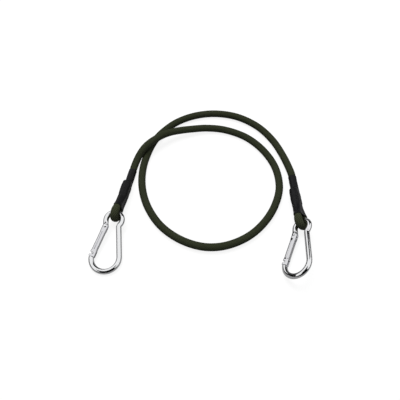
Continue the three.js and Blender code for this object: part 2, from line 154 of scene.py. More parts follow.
# Route of the free stretch, in metres: a hump over the other strand, once round
# clockwise, under the hump and out to the right
CORD_ROUTE = (
    (-0.0746, 0.0438, 0.0051), (-0.073, 0.0485, 0.0062), (-0.0708, 0.0534, 0.008),
    (-0.0676, 0.0588, 0.0103), (-0.0639, 0.064, 0.012), (-0.0597, 0.0688, 0.0128),
    (-0.0525, 0.0755, 0.0129), (-0.0439, 0.0824, 0.0123), (-0.0349, 0.0878, 0.0109),
    (-0.0238, 0.0923, 0.0089), (-0.0117, 0.0959, 0.007), (0.0084, 0.0995, 0.0048),
    (0.0299, 0.0973, 0.0041), (0.0544, 0.0861, 0.0041), (0.0732, 0.0672, 0.0041),
    (0.0858, 0.042, 0.0041), (0.0884, 0.0145, 0.0041), (0.0815, -0.0095, 0.0041),
    (0.0694, -0.0295, 0.0041), (0.0536, -0.0452, 0.0041), (0.0356, -0.0552, 0.0041),
    (0.0184, -0.0596, 0.0041), (0.0005, -0.0589, 0.0041), (-0.0215, -0.0506, 0.0041),
    (-0.0421, -0.0342, 0.0041), (-0.0573, -0.0101, 0.0041), (-0.0645, 0.0151, 0.0041),
    (-0.065, 0.0405, 0.0041), (-0.0605, 0.0625, 0.0041), (-0.0542, 0.0794, 0.0041),
    (-0.0456, 0.0928, 0.0041), (-0.0281, 0.1095, 0.0041), (-0.0059, 0.12, 0.0041),
    (0.0186, 0.1234, 0.0041), (0.0451, 0.1183, 0.0041), (0.0691, 0.1032, 0.0041),
    (0.0861, 0.0816, 0.0041), (0.0972, 0.0558, 0.0043),
)

# How far the two ends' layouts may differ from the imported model's
LAYOUT_TOLERANCE = 0.05 * MM

# Camera: the photograph is 400 pixels wide, taken looking along +Y and down. The focal
# length is in those pixels and the sensor's width in millimetres
PHOTO_WIDTH = 400
CAMERA_PIXELS = 465
SENSOR_WIDTH = 36
NEAREST_SEEN = 10 * MM
CAMERA_ELEVATION = math.radians(58)
CAMERA_DISTANCE = 514 * MM

# Detail of the surfaces
BRAID_SAMPLES = 4
LINE_STEP = 1 * MM
LINER_STEP = 4 * MM
WIRE_SIDES = 48
ARC_STEP = math.radians(2.5)
TURNED_SIDES = 48
HALF_SECTION = 24
FLAT_SECTION = 9
CORNER_SECTION = 9
GATE_FLAT_SHARES = (0.08, 0.5, 0.92)
EAR_STEPS = np.radians(np.arange(84, -1, -7))
BLEND_STEPS = np.linspace(0, 1, 9)
CORE_SIDES = 60
CURVE_SAMPLES = 60
LEG_STEPS = 40
SLEEVE_RINGS = 150
RIM_STEPS = 5
DOME_STEPS = 9
FLOOR_CLEARANCE = 0.02 * MM

# Noise in shapes: how many waves, how many of each in a lump's length, and their strength
NOISE_WAVES = 6
NOISE_RATES = (0.6, 1.6)
NOISE_GAIN = 1.6


class BungeeSizes(bpy.types.PropertyGroup):
    """Sizes of the cord and its hooks."""

    cord_diameter: bpy.props.FloatProperty(
        name="Cord", description="Diameter over the braid", default=8 * MM,
        subtype="DISTANCE", unit="LENGTH")
    braid_wall: bpy.props.FloatProperty(
        name="Braid Wall", description="Thickness of the braided cover", default=1 * MM,
        subtype="DISTANCE", unit="LENGTH")
    braid_strands: bpy.props.IntProperty(
        name="Strands", description="Braid strands that run each way round",
        default=12, min=4, max=24)
    braid_relief: bpy.props.FloatProperty(
        name="Relief", description="Depth between the strands", default=0.24 * MM,
        subtype="DISTANCE", unit="LENGTH")
    squeezed_diameter: bpy.props.FloatProperty(
        name="Squeezed Cord", description="Diameter of the cord under the crimp bands",
        default=6.4 * MM, subtype="DISTANCE", unit="LENGTH")
    sleeve_length: bpy.props.FloatProperty(
        name="Sleeve", description="Length of the shrunk sleeve", default=54 * MM,
        subtype="DISTANCE", unit="LENGTH")
    sleeve_wall: bpy.props.FloatProperty(
        name="Sleeve Wall", description="Thickness of the shrunk sleeve", default=0.6 * MM,
        subtype="DISTANCE", unit="LENGTH")
    hook_length: bpy.props.FloatProperty(
        name="Hook Length", description="From the end of the bow to the end of the eye",
        default=70 * MM, subtype="DISTANCE", unit="LENGTH")
    hook_width: bpy.props.FloatProperty(
        name="Hook Width", description="Across the bow", default=34 * MM,
        subtype="DISTANCE", unit="LENGTH")
    eye_width: bpy.props.FloatProperty(
        name="Eye Width", description="Across the eye", default=22.6 * MM,
        subtype="DISTANCE", unit="LENGTH")
    wire_diameter: bpy.props.FloatProperty(
        name="Wire", description="Diameter of the hook's wire", default=5.6 * MM,
        subtype="DISTANCE", unit="LENGTH")
    gate_thickness: bpy.props.FloatProperty(
        name="Gate Thickness", description="Gate's thickness at its ends", default=6 * MM,
        subtype="DISTANCE", unit="LENGTH")
    gate_tube_width: bpy.props.FloatProperty(
        name="Gate Tube", description="Gate's width between its ends", default=5.9 * MM,
        subtype="DISTANCE", unit="LENGTH")


class BungeeColours(bpy.types.PropertyGroup):
    """Colours of the cord and its hooks."""

    braid: bpy.props.FloatVectorProperty(
        name="Braid", description="Olive yarn of the cover", subtype="COLOR", size=4,
        min=0, max=1, default=(0.027, 0.032, 0.016, 1))
    # Braid of the folded ends: a paler colour painted in as light from the hooks and the floor, not
    # worn yarn.
    painted_light_braid: bpy.props.FloatVectorProperty(
        name="Painted Light Braid", description="Yarn worn paler where it turns round the wire",
        subtype="COLOR", size=4, min=0, max=1, default=(0.038, 0.044, 0.023, 1))
    # Painted shade laid into the valleys between the strands.
    braid_valley_shade: bpy.props.FloatVectorProperty(
        name="Braid Shade", description="Yarn between the strands", subtype="COLOR", size=4,
        min=0, max=1, default=(0.010, 0.012, 0.006, 1))
    sleeve: bpy.props.FloatVectorProperty(
        name="Sleeve", description="Shrunk plastic", subtype="COLOR", size=4,
        min=0, max=1, default=(0.006, 0.006, 0.0066, 1))
    plating: bpy.props.FloatVectorProperty(
        name="Plating", description="Bright nickel on hooks, rivets and pins", subtype="COLOR", size=4,
        min=0, max=1, default=(0.82, 0.825, 0.835, 1))
    gate_plating: bpy.props.FloatVectorProperty(
        name="Gate Plating", description="Duller nickel on the gates", subtype="COLOR", size=4,
        min=0, max=1, default=(0.70, 0.70, 0.72, 1))
    steel: bpy.props.FloatVectorProperty(
        name="Steel", description="Springs and crimp bands", subtype="COLOR", size=4,
        min=0, max=1, default=(0.42, 0.43, 0.45, 1))
    rubber: bpy.props.FloatVectorProperty(
        name="Rubber", description="Latex strands of the core", subtype="COLOR", size=4,
        min=0, max=1, default=(0.56, 0.44, 0.24, 1))
    floor: bpy.props.FloatVectorProperty(
        name="Floor", description="Paper under the cord", subtype="COLOR", size=4,
        min=0, max=1, default=(0.18, 0.18, 0.18, 1))


# Vectors and lines

def unit(vectors):
    """Each vector divided by its own length."""
    return vectors / np.linalg.norm(vectors, axis=-1, keepdims=True)


def ray(angle):
    """The unit vector in the XY plane at an angle from +X."""
    return np.array((math.cos(angle), math.sin(angle), 0.0))


def angle_of(vector):
    """The angle of a vector from +X in the XY plane."""
    return math.atan2(vector[1], vector[0])


def turning(axis, angle):
    """The matrix of a turn by an angle about the X, Y or Z axis, 0, 1 or 2."""
    cosine, sine = math.cos(angle), math.sin(angle)
    first, second = (axis + 1) % 3, (axis + 2) % 3
    matrix = np.eye(3)
    matrix[first, first] = matrix[second, second] = cosine
    matrix[second, first] = sine
    matrix[first, second] = -sine
    return matrix


def smooth(share):
    """0 below 0, 1 above 1, and the cubic with level ends, 3s^2 - 2s^3, between them."""
    held = np.clip(share, 0, 1)
    return held * held * (3 - 2 * held)


def eased(start, stop, share):
    """The value that goes from start at share 0 to stop at share 1 by the smooth cubic."""
    return start + (stop - start) * smooth(share)


def wavering(places, scale, seed):
    """Smooth noise, about -1 to 1: the mean of sine waves of random direction and phase."""
    dice = np.random.default_rng(seed)
    directions = unit(dice.normal(size=(NOISE_WAVES, 3)))
    phases = dice.uniform(0, 2 * math.pi, NOISE_WAVES)
    rates = dice.uniform(*NOISE_RATES, NOISE_WAVES) * 2 * math.pi / scale
    return np.sin(places @ directions.T * rates + phases).mean(axis=-1) * NOISE_GAIN


def directions_of(line):
    """The direction of a polyline at each of its points, from its two neighbours."""
    ahead = np.empty_like(line)
    ahead[1:-1] = line[2:] - line[:-2]
    ahead[0] = line[1] - line[0]
    ahead[-1] = line[-1] - line[-2]
    return unit(ahead)


def lengths_along(line):
    """The distance along a polyline to each of its points."""
    return np.concatenate(([0.0], np.cumsum(np.linalg.norm(np.diff(line, axis=0), axis=1))))


def read_at(vectors, reached, wanted):
    """Vectors known at the reached distances, read off at the wanted ones."""
    return np.stack([np.interp(wanted, reached, values) for values in vectors.T], axis=1)


def centripetal(points, samples=CURVE_SAMPLES):
    """The centripetal Catmull-Rom curve through points: each stretch is a cubic whose end
    slopes come from its neighbours, weighted by the square roots of their spacings."""
    points = np.asarray(points, float)
    padded = np.vstack((2 * points[0] - points[1], points, 2 * points[-1] - points[-2]))
    before, start, stop, after = padded[:-3], padded[1:-2], padded[2:-1], padded[3:]
    root = np.sqrt(np.linalg.norm(np.diff(padded, axis=0), axis=1))[:, None]
    gap_before, gap, gap_after = root[:-2], root[1:-1], root[2:]
    slope_in = ((start - before) / gap_before - (stop - before) / (gap_before + gap)
                + (stop - start) / gap) * gap
    slope_out = ((stop - start) / gap - (after - start) / (gap + gap_after)
                 + (after - stop) / gap_after) * gap
    share = (np.arange(samples) / samples)[None, :, None]
    start, stop, slope_in, slope_out = (v[:, None, :] for v in (start, stop, slope_in, slope_out))
    bend = 3 * (stop - start) - 2 * slope_in - slope_out
    twist = 2 * (start - stop) + slope_in + slope_out
    curve = start + slope_in * share + bend * share ** 2 + twist * share ** 3
    return np.vstack((curve.reshape(-1, 3), points[-1]))


# Meshes

def grid_faces(rows, columns, around=True, closed=False):
    """Four-sided faces over a grid of rows by columns, wrapping where it closes."""
    row = np.arange(rows if closed else rows - 1)[:, None]
    column = np.arange(columns if around else columns - 1)[None, :]
    row_after, column_after = (row + 1) % rows, (column + 1) % columns
    return np.stack((row * columns + column, row * columns + column_after,
                     row_after * columns + column_after, row_after * columns + column),
                    axis=-1).reshape(-1, 4)


def new_piece(name, vertices, faces, material, corner_uv=None):
    """A smooth mesh object at the origin from arrays of vertices and faces."""
    mesh = bpy.data.meshes.new(name)
    mesh.from_pydata(np.asarray(vertices, float), [], faces)
    mesh.polygons.foreach_set("use_smooth", np.ones(len(mesh.polygons), bool))
    if corner_uv is not None:
        layer = mesh.uv_layers.new(name="Surface")
        layer.uv.foreach_set("vector", corner_uv.astype(np.float32).ravel())
    mesh.update()
    if material is not None:
        mesh.materials.append(material)
    piece = bpy.data.objects.new(name, mesh)
    bpy.context.scene.collection.objects.link(piece)
    return piece


def capped(grid):
    """Vertices and faces of a grid of rings, closed at both ends by a fan to a middle point."""
    rows, columns = grid.shape[:2]
    vertices = np.vstack((grid.reshape(-1, 3), grid[0].mean(axis=0), grid[-1].mean(axis=0)))
    side = np.arange(columns)
    after = (side + 1) % columns
    middle = np.full(columns, rows * columns)
    last_ring = (rows - 1) * columns
    fans = np.stack((middle, after, side, middle + 1, last_ring + side, last_ring + after), axis=-1)
    return vertices, grid_faces(rows, columns).tolist() + fans.reshape(-1, 3).tolist()


def rings_about(line, halves, up, turns):
    """Oval rings square to a line. Each starts on the side vector, the direction crossed
    with up, and goes round towards up through the given turns. Halves are the ring's half
    width and half height, the same for a round one, and may vary round a ring."""
    ahead = directions_of(line)
    side = unit(np.cross(ahead, up))
    rise = np.cross(side, ahead)
    angle = turns[None, :] * 2 * math.pi
    halves = np.broadcast_to(halves, (len(line), len(turns), 2))
    across = (halves[..., 0] * np.cos(angle))[..., None]
    height = (halves[..., 1] * np.sin(angle))[..., None]
    return line[:, None, :] + rise[:, None, :] * height - side[:, None, :] * across


def prism(outline, half_height):
    """Vertices and faces of an anticlockwise outline in the XY plane, as far below it as above."""
    outline = np.asarray(outline, float)
    count = len(outline)
    low = np.column_stack((outline, np.full(count, -half_height)))
    high = np.column_stack((outline, np.full(count, half_height)))
    faces = grid_faces(2, count).tolist()
    faces.append(list(range(count))[::-1])
    faces.append(list(range(count, 2 * count)))
    return np.vstack((low, high)), faces


def round_outline(radius, x=0.0, y=0.0):
    """A circle about a place in the XY plane."""
    angle = np.arange(TURNED_SIDES) * 2 * math.pi / TURNED_SIDES
    return np.column_stack((x + radius * np.cos(angle), y + radius * np.sin(angle)))


def box_outline(x0, y0, x1, y1):
    """A rectangle between two corners."""
    return ((x0, y0), (x1, y0), (x1, y1), (x0, y1))


def turned(profile):
    """Vertices and faces of a profile of (radius, place along Z) turned about the Z axis,
    its first and last points on the axis."""
    profile = np.asarray(profile, float)
    angle = np.arange(TURNED_SIDES) * 2 * math.pi / TURNED_SIDES
    inner = profile[1:-1]
    rings = np.stack((inner[:, :1] * np.cos(angle), inner[:, :1] * np.sin(angle),
                      np.broadcast_to(inner[:, 1:], (len(inner), TURNED_SIDES))), axis=-1)
    vertices, faces = capped(rings)
    vertices[-2] = (0, 0, profile[0, 1])
    vertices[-1] = (0, 0, profile[-1, 1])
    return vertices, faces


def carved(name, first, steps, place, material):
    """The first solid with others joined to it or cut from it in turn, its edges rounded,
    carried to its place and marked sharp where it turns a corner."""
    piece = new_piece(name, *first, None)
    helpers = []
    for number, (operation, (vertices, faces)) in enumerate(steps):
        helper = new_piece(f"{name}_helper_{number}", vertices, faces, None)
        modifier = piece.modifiers.new(f"Step {number}", "BOOLEAN")
        modifier.operation = operation
        modifier.solver = "EXACT"
        modifier.object = helper
        helpers.append(helper)
    bevel = piece.modifiers.new("Edges", "BEVEL")
    bevel.width = EDGE_ROUND
    bevel.segments = 2
    bevel.limit_method = "ANGLE"
    bevel.angle_limit = EDGE_ANGLE
    made = bpy.data.meshes.new_from_object(
        piece.evaluated_get(bpy.context.evaluated_depsgraph_get()))
    for unwanted in (piece, *helpers):
        mesh = unwanted.data
        bpy.data.objects.remove(unwanted)
        bpy.data.meshes.remove(mesh)
    made.name = name
    coordinates = np.empty(len(made.vertices) * 3)
    made.vertices.foreach_get("co", coordinates)
    made.vertices.foreach_set("co", place(coordinates.reshape(-1, 3)).ravel())
    made.set_sharp_from_angle(angle=SHARP_ANGLE)
    made.update()
    made.materials.clear()
    made.materials.append(material)
    finished = bpy.data.objects.new(name, made)
    bpy.context.scene.collection.objects.link(finished)
    return finished


# Hook, drawn flat with the middle of its bow at 0, 0 and its eye above

def hook_shape(sizes):
    """Places in the flat hook. The spine is the straight line that touches the bow and a
    small kink, and the kink is an arc that leaves the eye square."""
    bow = (sizes.hook_width - sizes.wire_diameter) / 2
    eye = (sizes.eye_width - sizes.wire_diameter) / 2
    eye_centre = np.array((0, sizes.hook_length - (sizes.hook_width + sizes.eye_width) / 2, 0))
    kink_centre = eye_centre + ray(KINK_ANGLE) * (eye + KINK_RADIUS)
    slant = angle_of(kink_centre) - math.acos((bow + KINK_RADIUS) / np.linalg.norm(kink_centre))
    stub_start = eye_centre + ray(EYE_END) * eye
    hinge = stub_start + ray(EYE_END + math.pi / 2) * HINGE_STUB
    nose = ray(NOSE_ANGLE) * bow
    reach = np.linalg.norm(nose - hinge)
    gate_end = reach - NOSE_GAP
    pin = gate_end - CLAW_LIP
    return SimpleNamespace(
        wire=sizes.wire_diameter / 2, bow=bow, eye=eye, eye_centre=eye_centre,
        kink_centre=kink_centre, slant=slant, hinge=hinge, reach=reach,
        gate_turn=angle_of(nose - hinge) - math.pi / 2, gate_end=gate_end, pin=pin,
        slot_depth=TANG_RADIUS + 2 * RUNNING_GAP,
        bore_depth=pin - TONGUE_TIP - RUNNING_GAP - BORE_END_WALL)


def wire_line(shape):
    """The wire's middle line from the nose round the bow, up the spine, through the kink,
    round the eye and down the stub: arcs in even steps, joined by straight stretches."""
    def arc(centre, radius, start, stop):
        """Points about a centre from one angle to another, in even steps of about ARC_STEP."""
        angle = np.linspace(start, stop, max(2, round(abs(stop - start) / ARC_STEP)) + 1)
        circle = np.column_stack((np.cos(angle), np.sin(angle), np.zeros(len(angle))))
        return centre + radius * circle

    bow = arc(0, shape.bow, NOSE_ANGLE - NOSE_LEAD, shape.slant + 2 * math.pi)
    kink = arc(shape.kink_centre, KINK_RADIUS, shape.slant + math.pi, KINK_ANGLE + math.pi)
    eye = arc(shape.eye_centre, shape.eye, KINK_ANGLE, EYE_END)
    return np.vstack((bow, kink, eye[1:], shape.hinge))


def at_hinge(shape, solid, turn=0.0):
    """A solid turned about Z and moved to the hinge of the flat hook."""
    vertices, faces = solid
    return vertices @ turning(2, turn).T + shape.hinge, faces


def in_gate_axes(shape, solid):
    """A solid drawn with the hinge at 0, 0 and +Y to the nose, carried onto the flat hook."""
    return at_hinge(shape, solid, shape.gate_turn)


def hook_frame_piece(name, shape, place, material):
    """The wire as round rings along its line, cut for the gate's ears and nose, with the
    tang and the tongue joined on and the holes of the rivet and the pin."""
    line = wire_line(shape)
    turns = np.arange(WIRE_SIDES) / WIRE_SIDES
    wire = capped(rings_about(line, shape.wire, np.array((0.0, 0.0, 1.0)), turns))
    tall = shape.wire + CUT_OVERRUN
    wide = 2 * shape.wire
    tang = prism(box_outline(-TANG_RADIUS, 0, TANG_RADIUS, EAR_RADIUS + EAR_GAP + CUT_OVERRUN),
                 TANG_THICKNESS / 2)
    cam = prism(box_outline(-EAR_RADIUS, CAM_HEIGHT, EAR_RADIUS, CAM_HEIGHT + wide), TANG_THICKNESS)
    nose = prism(box_outline(-wide, shape.pin - TONGUE_TIP, wide, shape.reach), tall)
    tongue = prism(box_outline(-TONGUE_WIDTH / 2, shape.pin - TONGUE_TIP, TONGUE_WIDTH / 2,
                               shape.reach + CUT_OVERRUN), TONGUE_THICKNESS / 2)
    return carved(name, wire, [
        ("DIFFERENCE", at_hinge(shape, prism(round_outline(EAR_RADIUS + EAR_GAP), tall))),
        ("DIFFERENCE", in_gate_axes(shape, nose)),
        ("UNION", at_hinge(shape, tang, EYE_END + math.pi)),
        ("UNION", at_hinge(shape, prism(round_outline(TANG_RADIUS), TANG_THICKNESS / 2))),
        ("DIFFERENCE", in_gate_axes(shape, cam)),
        ("DIFFERENCE", at_hinge(shape, prism(round_outline(RIVET_DIAMETER / 2 + SEAT_GAP), tall))),
        ("UNION", in_gate_axes(shape, tongue)),
        ("DIFFERENCE", in_gate_axes(shape, prism(
            round_outline(NOSE_PIN / 2 + SEAT_GAP, y=shape.pin), tall))),
    ], place, material)


def gate_section(width, thickness):
    """A rounded oblong in XZ: four corner arcs, joined by flats with points near their ends."""
    corner = min(GATE_CORNER, width / 2, thickness / 2)
    quarter = np.linspace(0, math.pi / 2, CORNER_SECTION)
    rim = []
    for turn in range(4):
        x_sign = 1 if turn in (0, 3) else -1
        z_sign = 1 if turn < 2 else -1
        angle = quarter + turn * math.pi / 2
        rim.append(np.column_stack((x_sign * (width / 2 - corner) + corner * np.cos(angle),
                                    z_sign * (thickness / 2 - corner) + corner * np.sin(angle))))
    joined = []
    for turn in range(4):
        here, there = rim[turn], rim[(turn + 1) % 4]
        joined.append(here)
        joined.append([here[-1] + (there[0] - here[-1]) * share for share in GATE_FLAT_SHARES])
    return np.vstack(joined)[::-1]


def gate_piece(name, shape, sizes, place, material):
    """The gate as rounded oblongs along +Y from its round ears to its claw, slotted at both
    ends and bored for its spring, with a notch for the nose pin and a V-shaped seam on top."""
    tube, thick = sizes.gate_tube_width, sizes.gate_thickness
    ear_width = 2 * EAR_RADIUS
    claw_start = shape.pin - CLAW_NECK
    seam_start, seam_end = EAR_LENGTH + EAR_TAPER, claw_start - CLAW_TAPER
    rings = []
    for angle in EAR_STEPS:
        rings.append((-EAR_RADIUS * math.sin(angle), ear_width * math.cos(angle), thick))
    for share in BLEND_STEPS:
        rings.append((EAR_LENGTH + share * EAR_TAPER,
                      eased(ear_width, tube, share), eased(thick, tube, share)))
    for share in BLEND_STEPS:
        rings.append((seam_end + share * CLAW_TAPER,
                      eased(tube, CLAW_WIDTH, share), eased(tube, thick, share)))
    rings.append((shape.gate_end, CLAW_WIDTH, thick))
    grid = []
    for y, width, thickness in rings:
        section = gate_section(width, thickness)
        grid.append(np.column_stack((section[:, 0], np.full(len(section), y), section[:, 1])))
    wide = CLAW_WIDTH + CUT_OVERRUN
    deep = thick / 2 + CUT_OVERRUN
    notch = NOSE_PIN / 2 + EAR_GAP
    bore_radius = BORE_DIAMETER / 2
    bore_vertices, bore_faces = turned(((0, 0), (bore_radius, 0), (bore_radius, shape.bore_depth),
                                        (0, shape.bore_depth)))
    bore = (bore_vertices @ turning(0, -math.pi / 2).T, bore_faces)
    low, high = tube / 2 - SEAM_DEPTH, tube / 2 + SEAM_DEPTH
    groove_vertices, groove_faces = prism(((0, low), (SEAM_WIDTH, high), (-SEAM_WIDTH, high)),
                                          (seam_end - seam_start) / 2)
    groove_middle = (0, (seam_start + seam_end) / 2, 0)
    groove = (groove_vertices @ turning(0, math.pi / 2).T + groove_middle, groove_faces)
    tongue_slot = box_outline(-wide, shape.pin - TONGUE_TIP - RUNNING_GAP, wide, shape.reach)

    def put(vertices):
        """Places in the gate's own axes carried to where the hook lies."""
        return place(vertices @ turning(2, shape.gate_turn).T + shape.hinge)

    return carved(name, capped(np.array(grid)), [
        ("DIFFERENCE", prism(box_outline(-wide, -wide, wide, shape.slot_depth),
                             TANG_THICKNESS / 2 + RUNNING_GAP)),
        ("DIFFERENCE", bore),
        ("DIFFERENCE", groove),
        ("DIFFERENCE", prism(round_outline(RIVET_DIAMETER / 2 + RUNNING_GAP), deep)),
        ("DIFFERENCE", prism(tongue_slot, TONGUE_THICKNESS / 2 + RUNNING_GAP)),
        ("DIFFERENCE", prism(round_outline(notch, y=shape.pin), deep)),
        ("DIFFERENCE", prism(box_outline(0, shape.pin - notch, wide, shape.pin + notch), deep)),
    ], put, material)


# How an end lies

def end_frame(side, sizes):
    """The hook's axes and the cord's fold at one end: the fold's plane is swung out of the
    hook's own until the cord leaves level, and the sleeve leans by its own roll."""
    end = ENDS[side]
    wire = sizes.wire_diameter / 2
    eye_radius = (sizes.eye_width - sizes.wire_diameter) / 2
    turn = (turning(2, math.radians(end.yaw)) @ turning(0, math.radians(end.pitch))
            @ turning(1, math.radians(end.roll)))
    across, lengthwise, normal = turn.T
    angle = math.radians(end.contact_angle)
    radial = lengthwise * math.cos(angle) + across * math.sin(angle)
    swing = math.atan2(radial[2], normal[2])
    heading = math.radians(end.sleeve_heading)
    lean = math.radians(end.sleeve_roll)
    sleeve_outward = np.array((math.sin(heading), math.cos(heading), 0.0))
    sleeve_side = np.cross(sleeve_outward, (0, 0, 1))
    sleeve_upward = np.array((0, 0, math.cos(lean))) - sleeve_side * math.sin(lean)
    contact = np.array(end.contact)
    squeezed = sizes.squeezed_diameter / 2
    sleeve_inner = squeezed + RUNNING_GAP + BAND_WALL + RUNNING_GAP
    sleeve_outer = sleeve_inner + sizes.sleeve_wall
    spacing = sizes.squeezed_diameter + RUNNING_GAP
    leg_height = sleeve_outer * math.cos(SLEEVE_FACET)
    return SimpleNamespace(
        turn=turn, contact=contact, eye=contact - radial * eye_radius,
        outward=radial * math.cos(swing) - normal * math.sin(swing),
        upward=radial * math.sin(swing) + normal * math.cos(swing),
        sleeve_outward=sleeve_outward, sleeve_upward=sleeve_upward,
        side=np.cross(sleeve_outward, sleeve_upward), spacing=spacing,
        middle=np.array((contact[0], contact[1], leg_height + spacing / 2 * sleeve_upward[2])),
        fold_radius=wire + RUNNING_GAP + FOLDED_THICKNESS / 2,
        cord=sizes.cord_diameter / 2, squeezed=squeezed, sleeve_outer=sleeve_outer,
        sleeve_wall=sizes.sleeve_wall,
        neck_outer=SLEEVED_DIAMETER / 2 + RUNNING_GAP + sizes.sleeve_wall,
        step_start=TAIL_LENGTH + RUNNING_GAP, sleeve_end=MOUTH_DISTANCE + sizes.sleeve_length)


def leg_centres(end, side, distances):
    """Middle line of a leg of the fold at distances from the eye's wire, side -1 for the
    standing part and 1 for the tail: from the fold's own plane it eases into the sleeve's."""
    distances = np.asarray(distances, float)[:, None]
    at_fold = end.contact + end.upward * side * end.fold_radius + end.outward * distances
    in_sleeve = (end.middle + end.sleeve_upward * side * end.spacing / 2
                 + end.sleeve_outward * distances)
    share = smooth(distances / FOLD_LENGTH)
    return at_fold + (in_sleeve - at_fold) * share


def leg_halves(end, distances):
    """Half width and half thickness of a leg: flattened at the wire, round and squeezed in
    the sleeve, wider in the sleeve's neck."""
    distances = np.asarray(distances, float)[:, None]
    folded = np.array((FOLDED_WIDTH, FOLDED_THICKNESS)) / 2
    before = folded + (end.squeezed - folded) * smooth(distances / SQUEEZE_LENGTH)
    swell = SLEEVED_DIAMETER / 2 - end.squeezed
    return before + swell * smooth((distances - end.step_start) / STEP_LENGTH)


def folded_line(end, stop):
    """The folded cord's middle line and half sizes, from inside the sleeve's neck along the
    standing leg, half round the wire and back along the tail."""
    steps = np.linspace(0, 1, LEG_STEPS)
    standing = stop * (1 - steps)
    half_turn = np.linspace(-math.pi / 2, math.pi / 2, LEG_STEPS + 1)[1:-1, None]
    bend = end.contact + end.fold_radius * (
        end.upward * np.sin(half_turn) - end.outward * np.cos(half_turn))
    tail = TAIL_LENGTH * steps
    line = np.vstack((leg_centres(end, -1, standing), bend, leg_centres(end, 1, tail)))
    halves = np.vstack((leg_halves(end, standing), leg_halves(end, np.zeros(len(bend))),
                        leg_halves(end, tail)))
    return line, halves


# Cord

def free_route(ends, sizes):
    """Points of the free stretch, from inside the left sleeve's neck to inside the right one."""
    distances = np.array((-NECK_INSET, RUNNING_GAP, RUNNING_GAP + sizes.cord_diameter / 2))
    left, right = (leg_centres(ends[side], -1, ends[side].sleeve_end + distances) for side in SIDES)
    return [*left, *CORD_ROUTE, *right[::-1]]


def braided_piece(name, line, halves, up, sizes, shift, material):
    """A braided tube along a line. Strands wind both ways; where a point lies u strands
    round and v strands along, the relief is |cos 2 pi v - cos 2 pi u| / 2, a crown on each
    strand's float with valleys between them. A plain liner closes the tube inside."""
    reached = lengths_along(line)
    total = reached[-1]
    strand = math.pi * sizes.cord_diameter / sizes.braid_strands
    strands_along = max(1, round(total / strand))
    rows = strands_along * BRAID_SAMPLES + 1
    columns = sizes.braid_strands * BRAID_SAMPLES
    outer_places = np.linspace(0, total, rows)
    inner_places = np.linspace(total, 0, max(2, round(total / LINER_STEP)))
    turns = np.arange(columns) / columns
    along = np.arange(rows)[:, None] / BRAID_SAMPLES
    around = turns[None, :] * sizes.braid_strands
    crown = np.abs(np.cos(2 * math.pi * along) - np.cos(2 * math.pi * around)) / 2
    rise = np.broadcast_to(up, line.shape)

    def wall(places, inset):
        """Rings at places along the line, their half sizes less an inset."""
        return rings_about(read_at(line, reached, places),
                           read_at(halves, reached, places)[:, None] - inset,
                           read_at(rise, reached, places), turns)

    relief = sizes.braid_relief * (0.5 - crown)
    inner_wall = wall(inner_places[::-1], sizes.braid_wall)[::-1]
    grid = np.vstack((wall(outer_places, relief[..., None]), inner_wall)) + shift
    grid[..., 2] = np.maximum(grid[..., 2], FLOOR_CLEARANCE)
    faces = grid_faces(len(grid), columns, closed=True)
    row, column = faces[:, 0] // columns, faces[:, 0] % columns
    height = np.concatenate((outer_places, inner_places, outer_places[:1])) / strand
    start, stop = height[row], height[row + 1]
    left = column / BRAID_SAMPLES
    right = left + 1 / BRAID_SAMPLES
    corner_uv = np.stack((np.stack((left, start), -1), np.stack((right, start), -1),
                          np.stack((right, stop), -1), np.stack((left, stop), -1)), axis=1)
    return new_piece(name, grid.reshape(-1, 3), faces.tolist(), material, corner_uv)


def core_piece(name, line, halves, up, shift, material):
    """The rubber core: a bundle of n strands, whose half sizes round the line are narrowed
    by a groove between each two, as deep as a share times |cos n pi t| to the sixth."""
    turns = np.arange(CORE_SIDES) / CORE_SIDES
    grooves = 1 - CORE_GROOVE * np.abs(np.cos(CORE_STRANDS * math.pi * turns)) ** 6
    rings = rings_about(line, halves[:, None] * grooves[None, :, None], up, turns) + shift
    return new_piece(name, *capped(rings), material)


# Sleeve

def sleeve_rings(end, distances, radii, seed):
    """Oblong rings with round ends over both legs. Past the tail's end they close on the
    standing leg. Between the legs the sides draw in, and slow noise makes the shrink lumps."""
    merge = smooth((distances - end.step_start) / STEP_LENGTH)[:, None]
    lower = leg_centres(end, -1, distances)
    upper = leg_centres(end, 1, distances)
    apart = upper - lower
    side = unit(np.cross(apart, end.sleeve_outward))
    rise = np.cross(end.sleeve_outward, side)
    upper = upper + (lower - upper) * merge
    half = (np.arange(HALF_SECTION) + 0.5) / HALF_SECTION * math.pi
    flat = (np.arange(FLAT_SECTION) + 1) / (FLAT_SECTION + 1)

    def arc(centre, turn):
        """Half a circle round each centre, from the side vector turned by an angle."""
        angle = (half + turn)[None, :, None]
        outward = side[:, None, :] * np.cos(angle) + rise[:, None, :] * np.sin(angle)
        return centre[:, None, :] + outward * radii[:, None, None]

    def wall(start, stop, sign):
        """Straight runs from one leg to the other at the radius, less the sides' draw, which
        goes as a half sine between the legs."""
        share = flat[None, :, None]
        gap = np.linalg.norm(upper - lower, axis=1)[:, None, None]
        drawn = SLEEVE_DRAW * np.sin(math.pi * share) * smooth(gap / (DRAW_GAP * end.cord))
        edge = side[:, None, :] * sign
        middle = start[:, None, :] + (stop - start)[:, None, :] * share
        return middle + edge * (radii[:, None, None] - drawn)

    rings = np.concatenate((arc(lower, math.pi), wall(lower, upper, 1), arc(upper, 0.0),
                            wall(upper, lower, -1)), axis=1)
    centre = (lower + upper) / 2
    outward = unit(rings - centre[:, None, :])
    started = smooth((distances - MOUTH_DISTANCE) / LUMP_EASE)
    lumps = wavering(rings, LUMP_LENGTH, seed) * started[:, None]
    return rings + outward * (lumps * SLEEVE_LUMPS)[..., None]


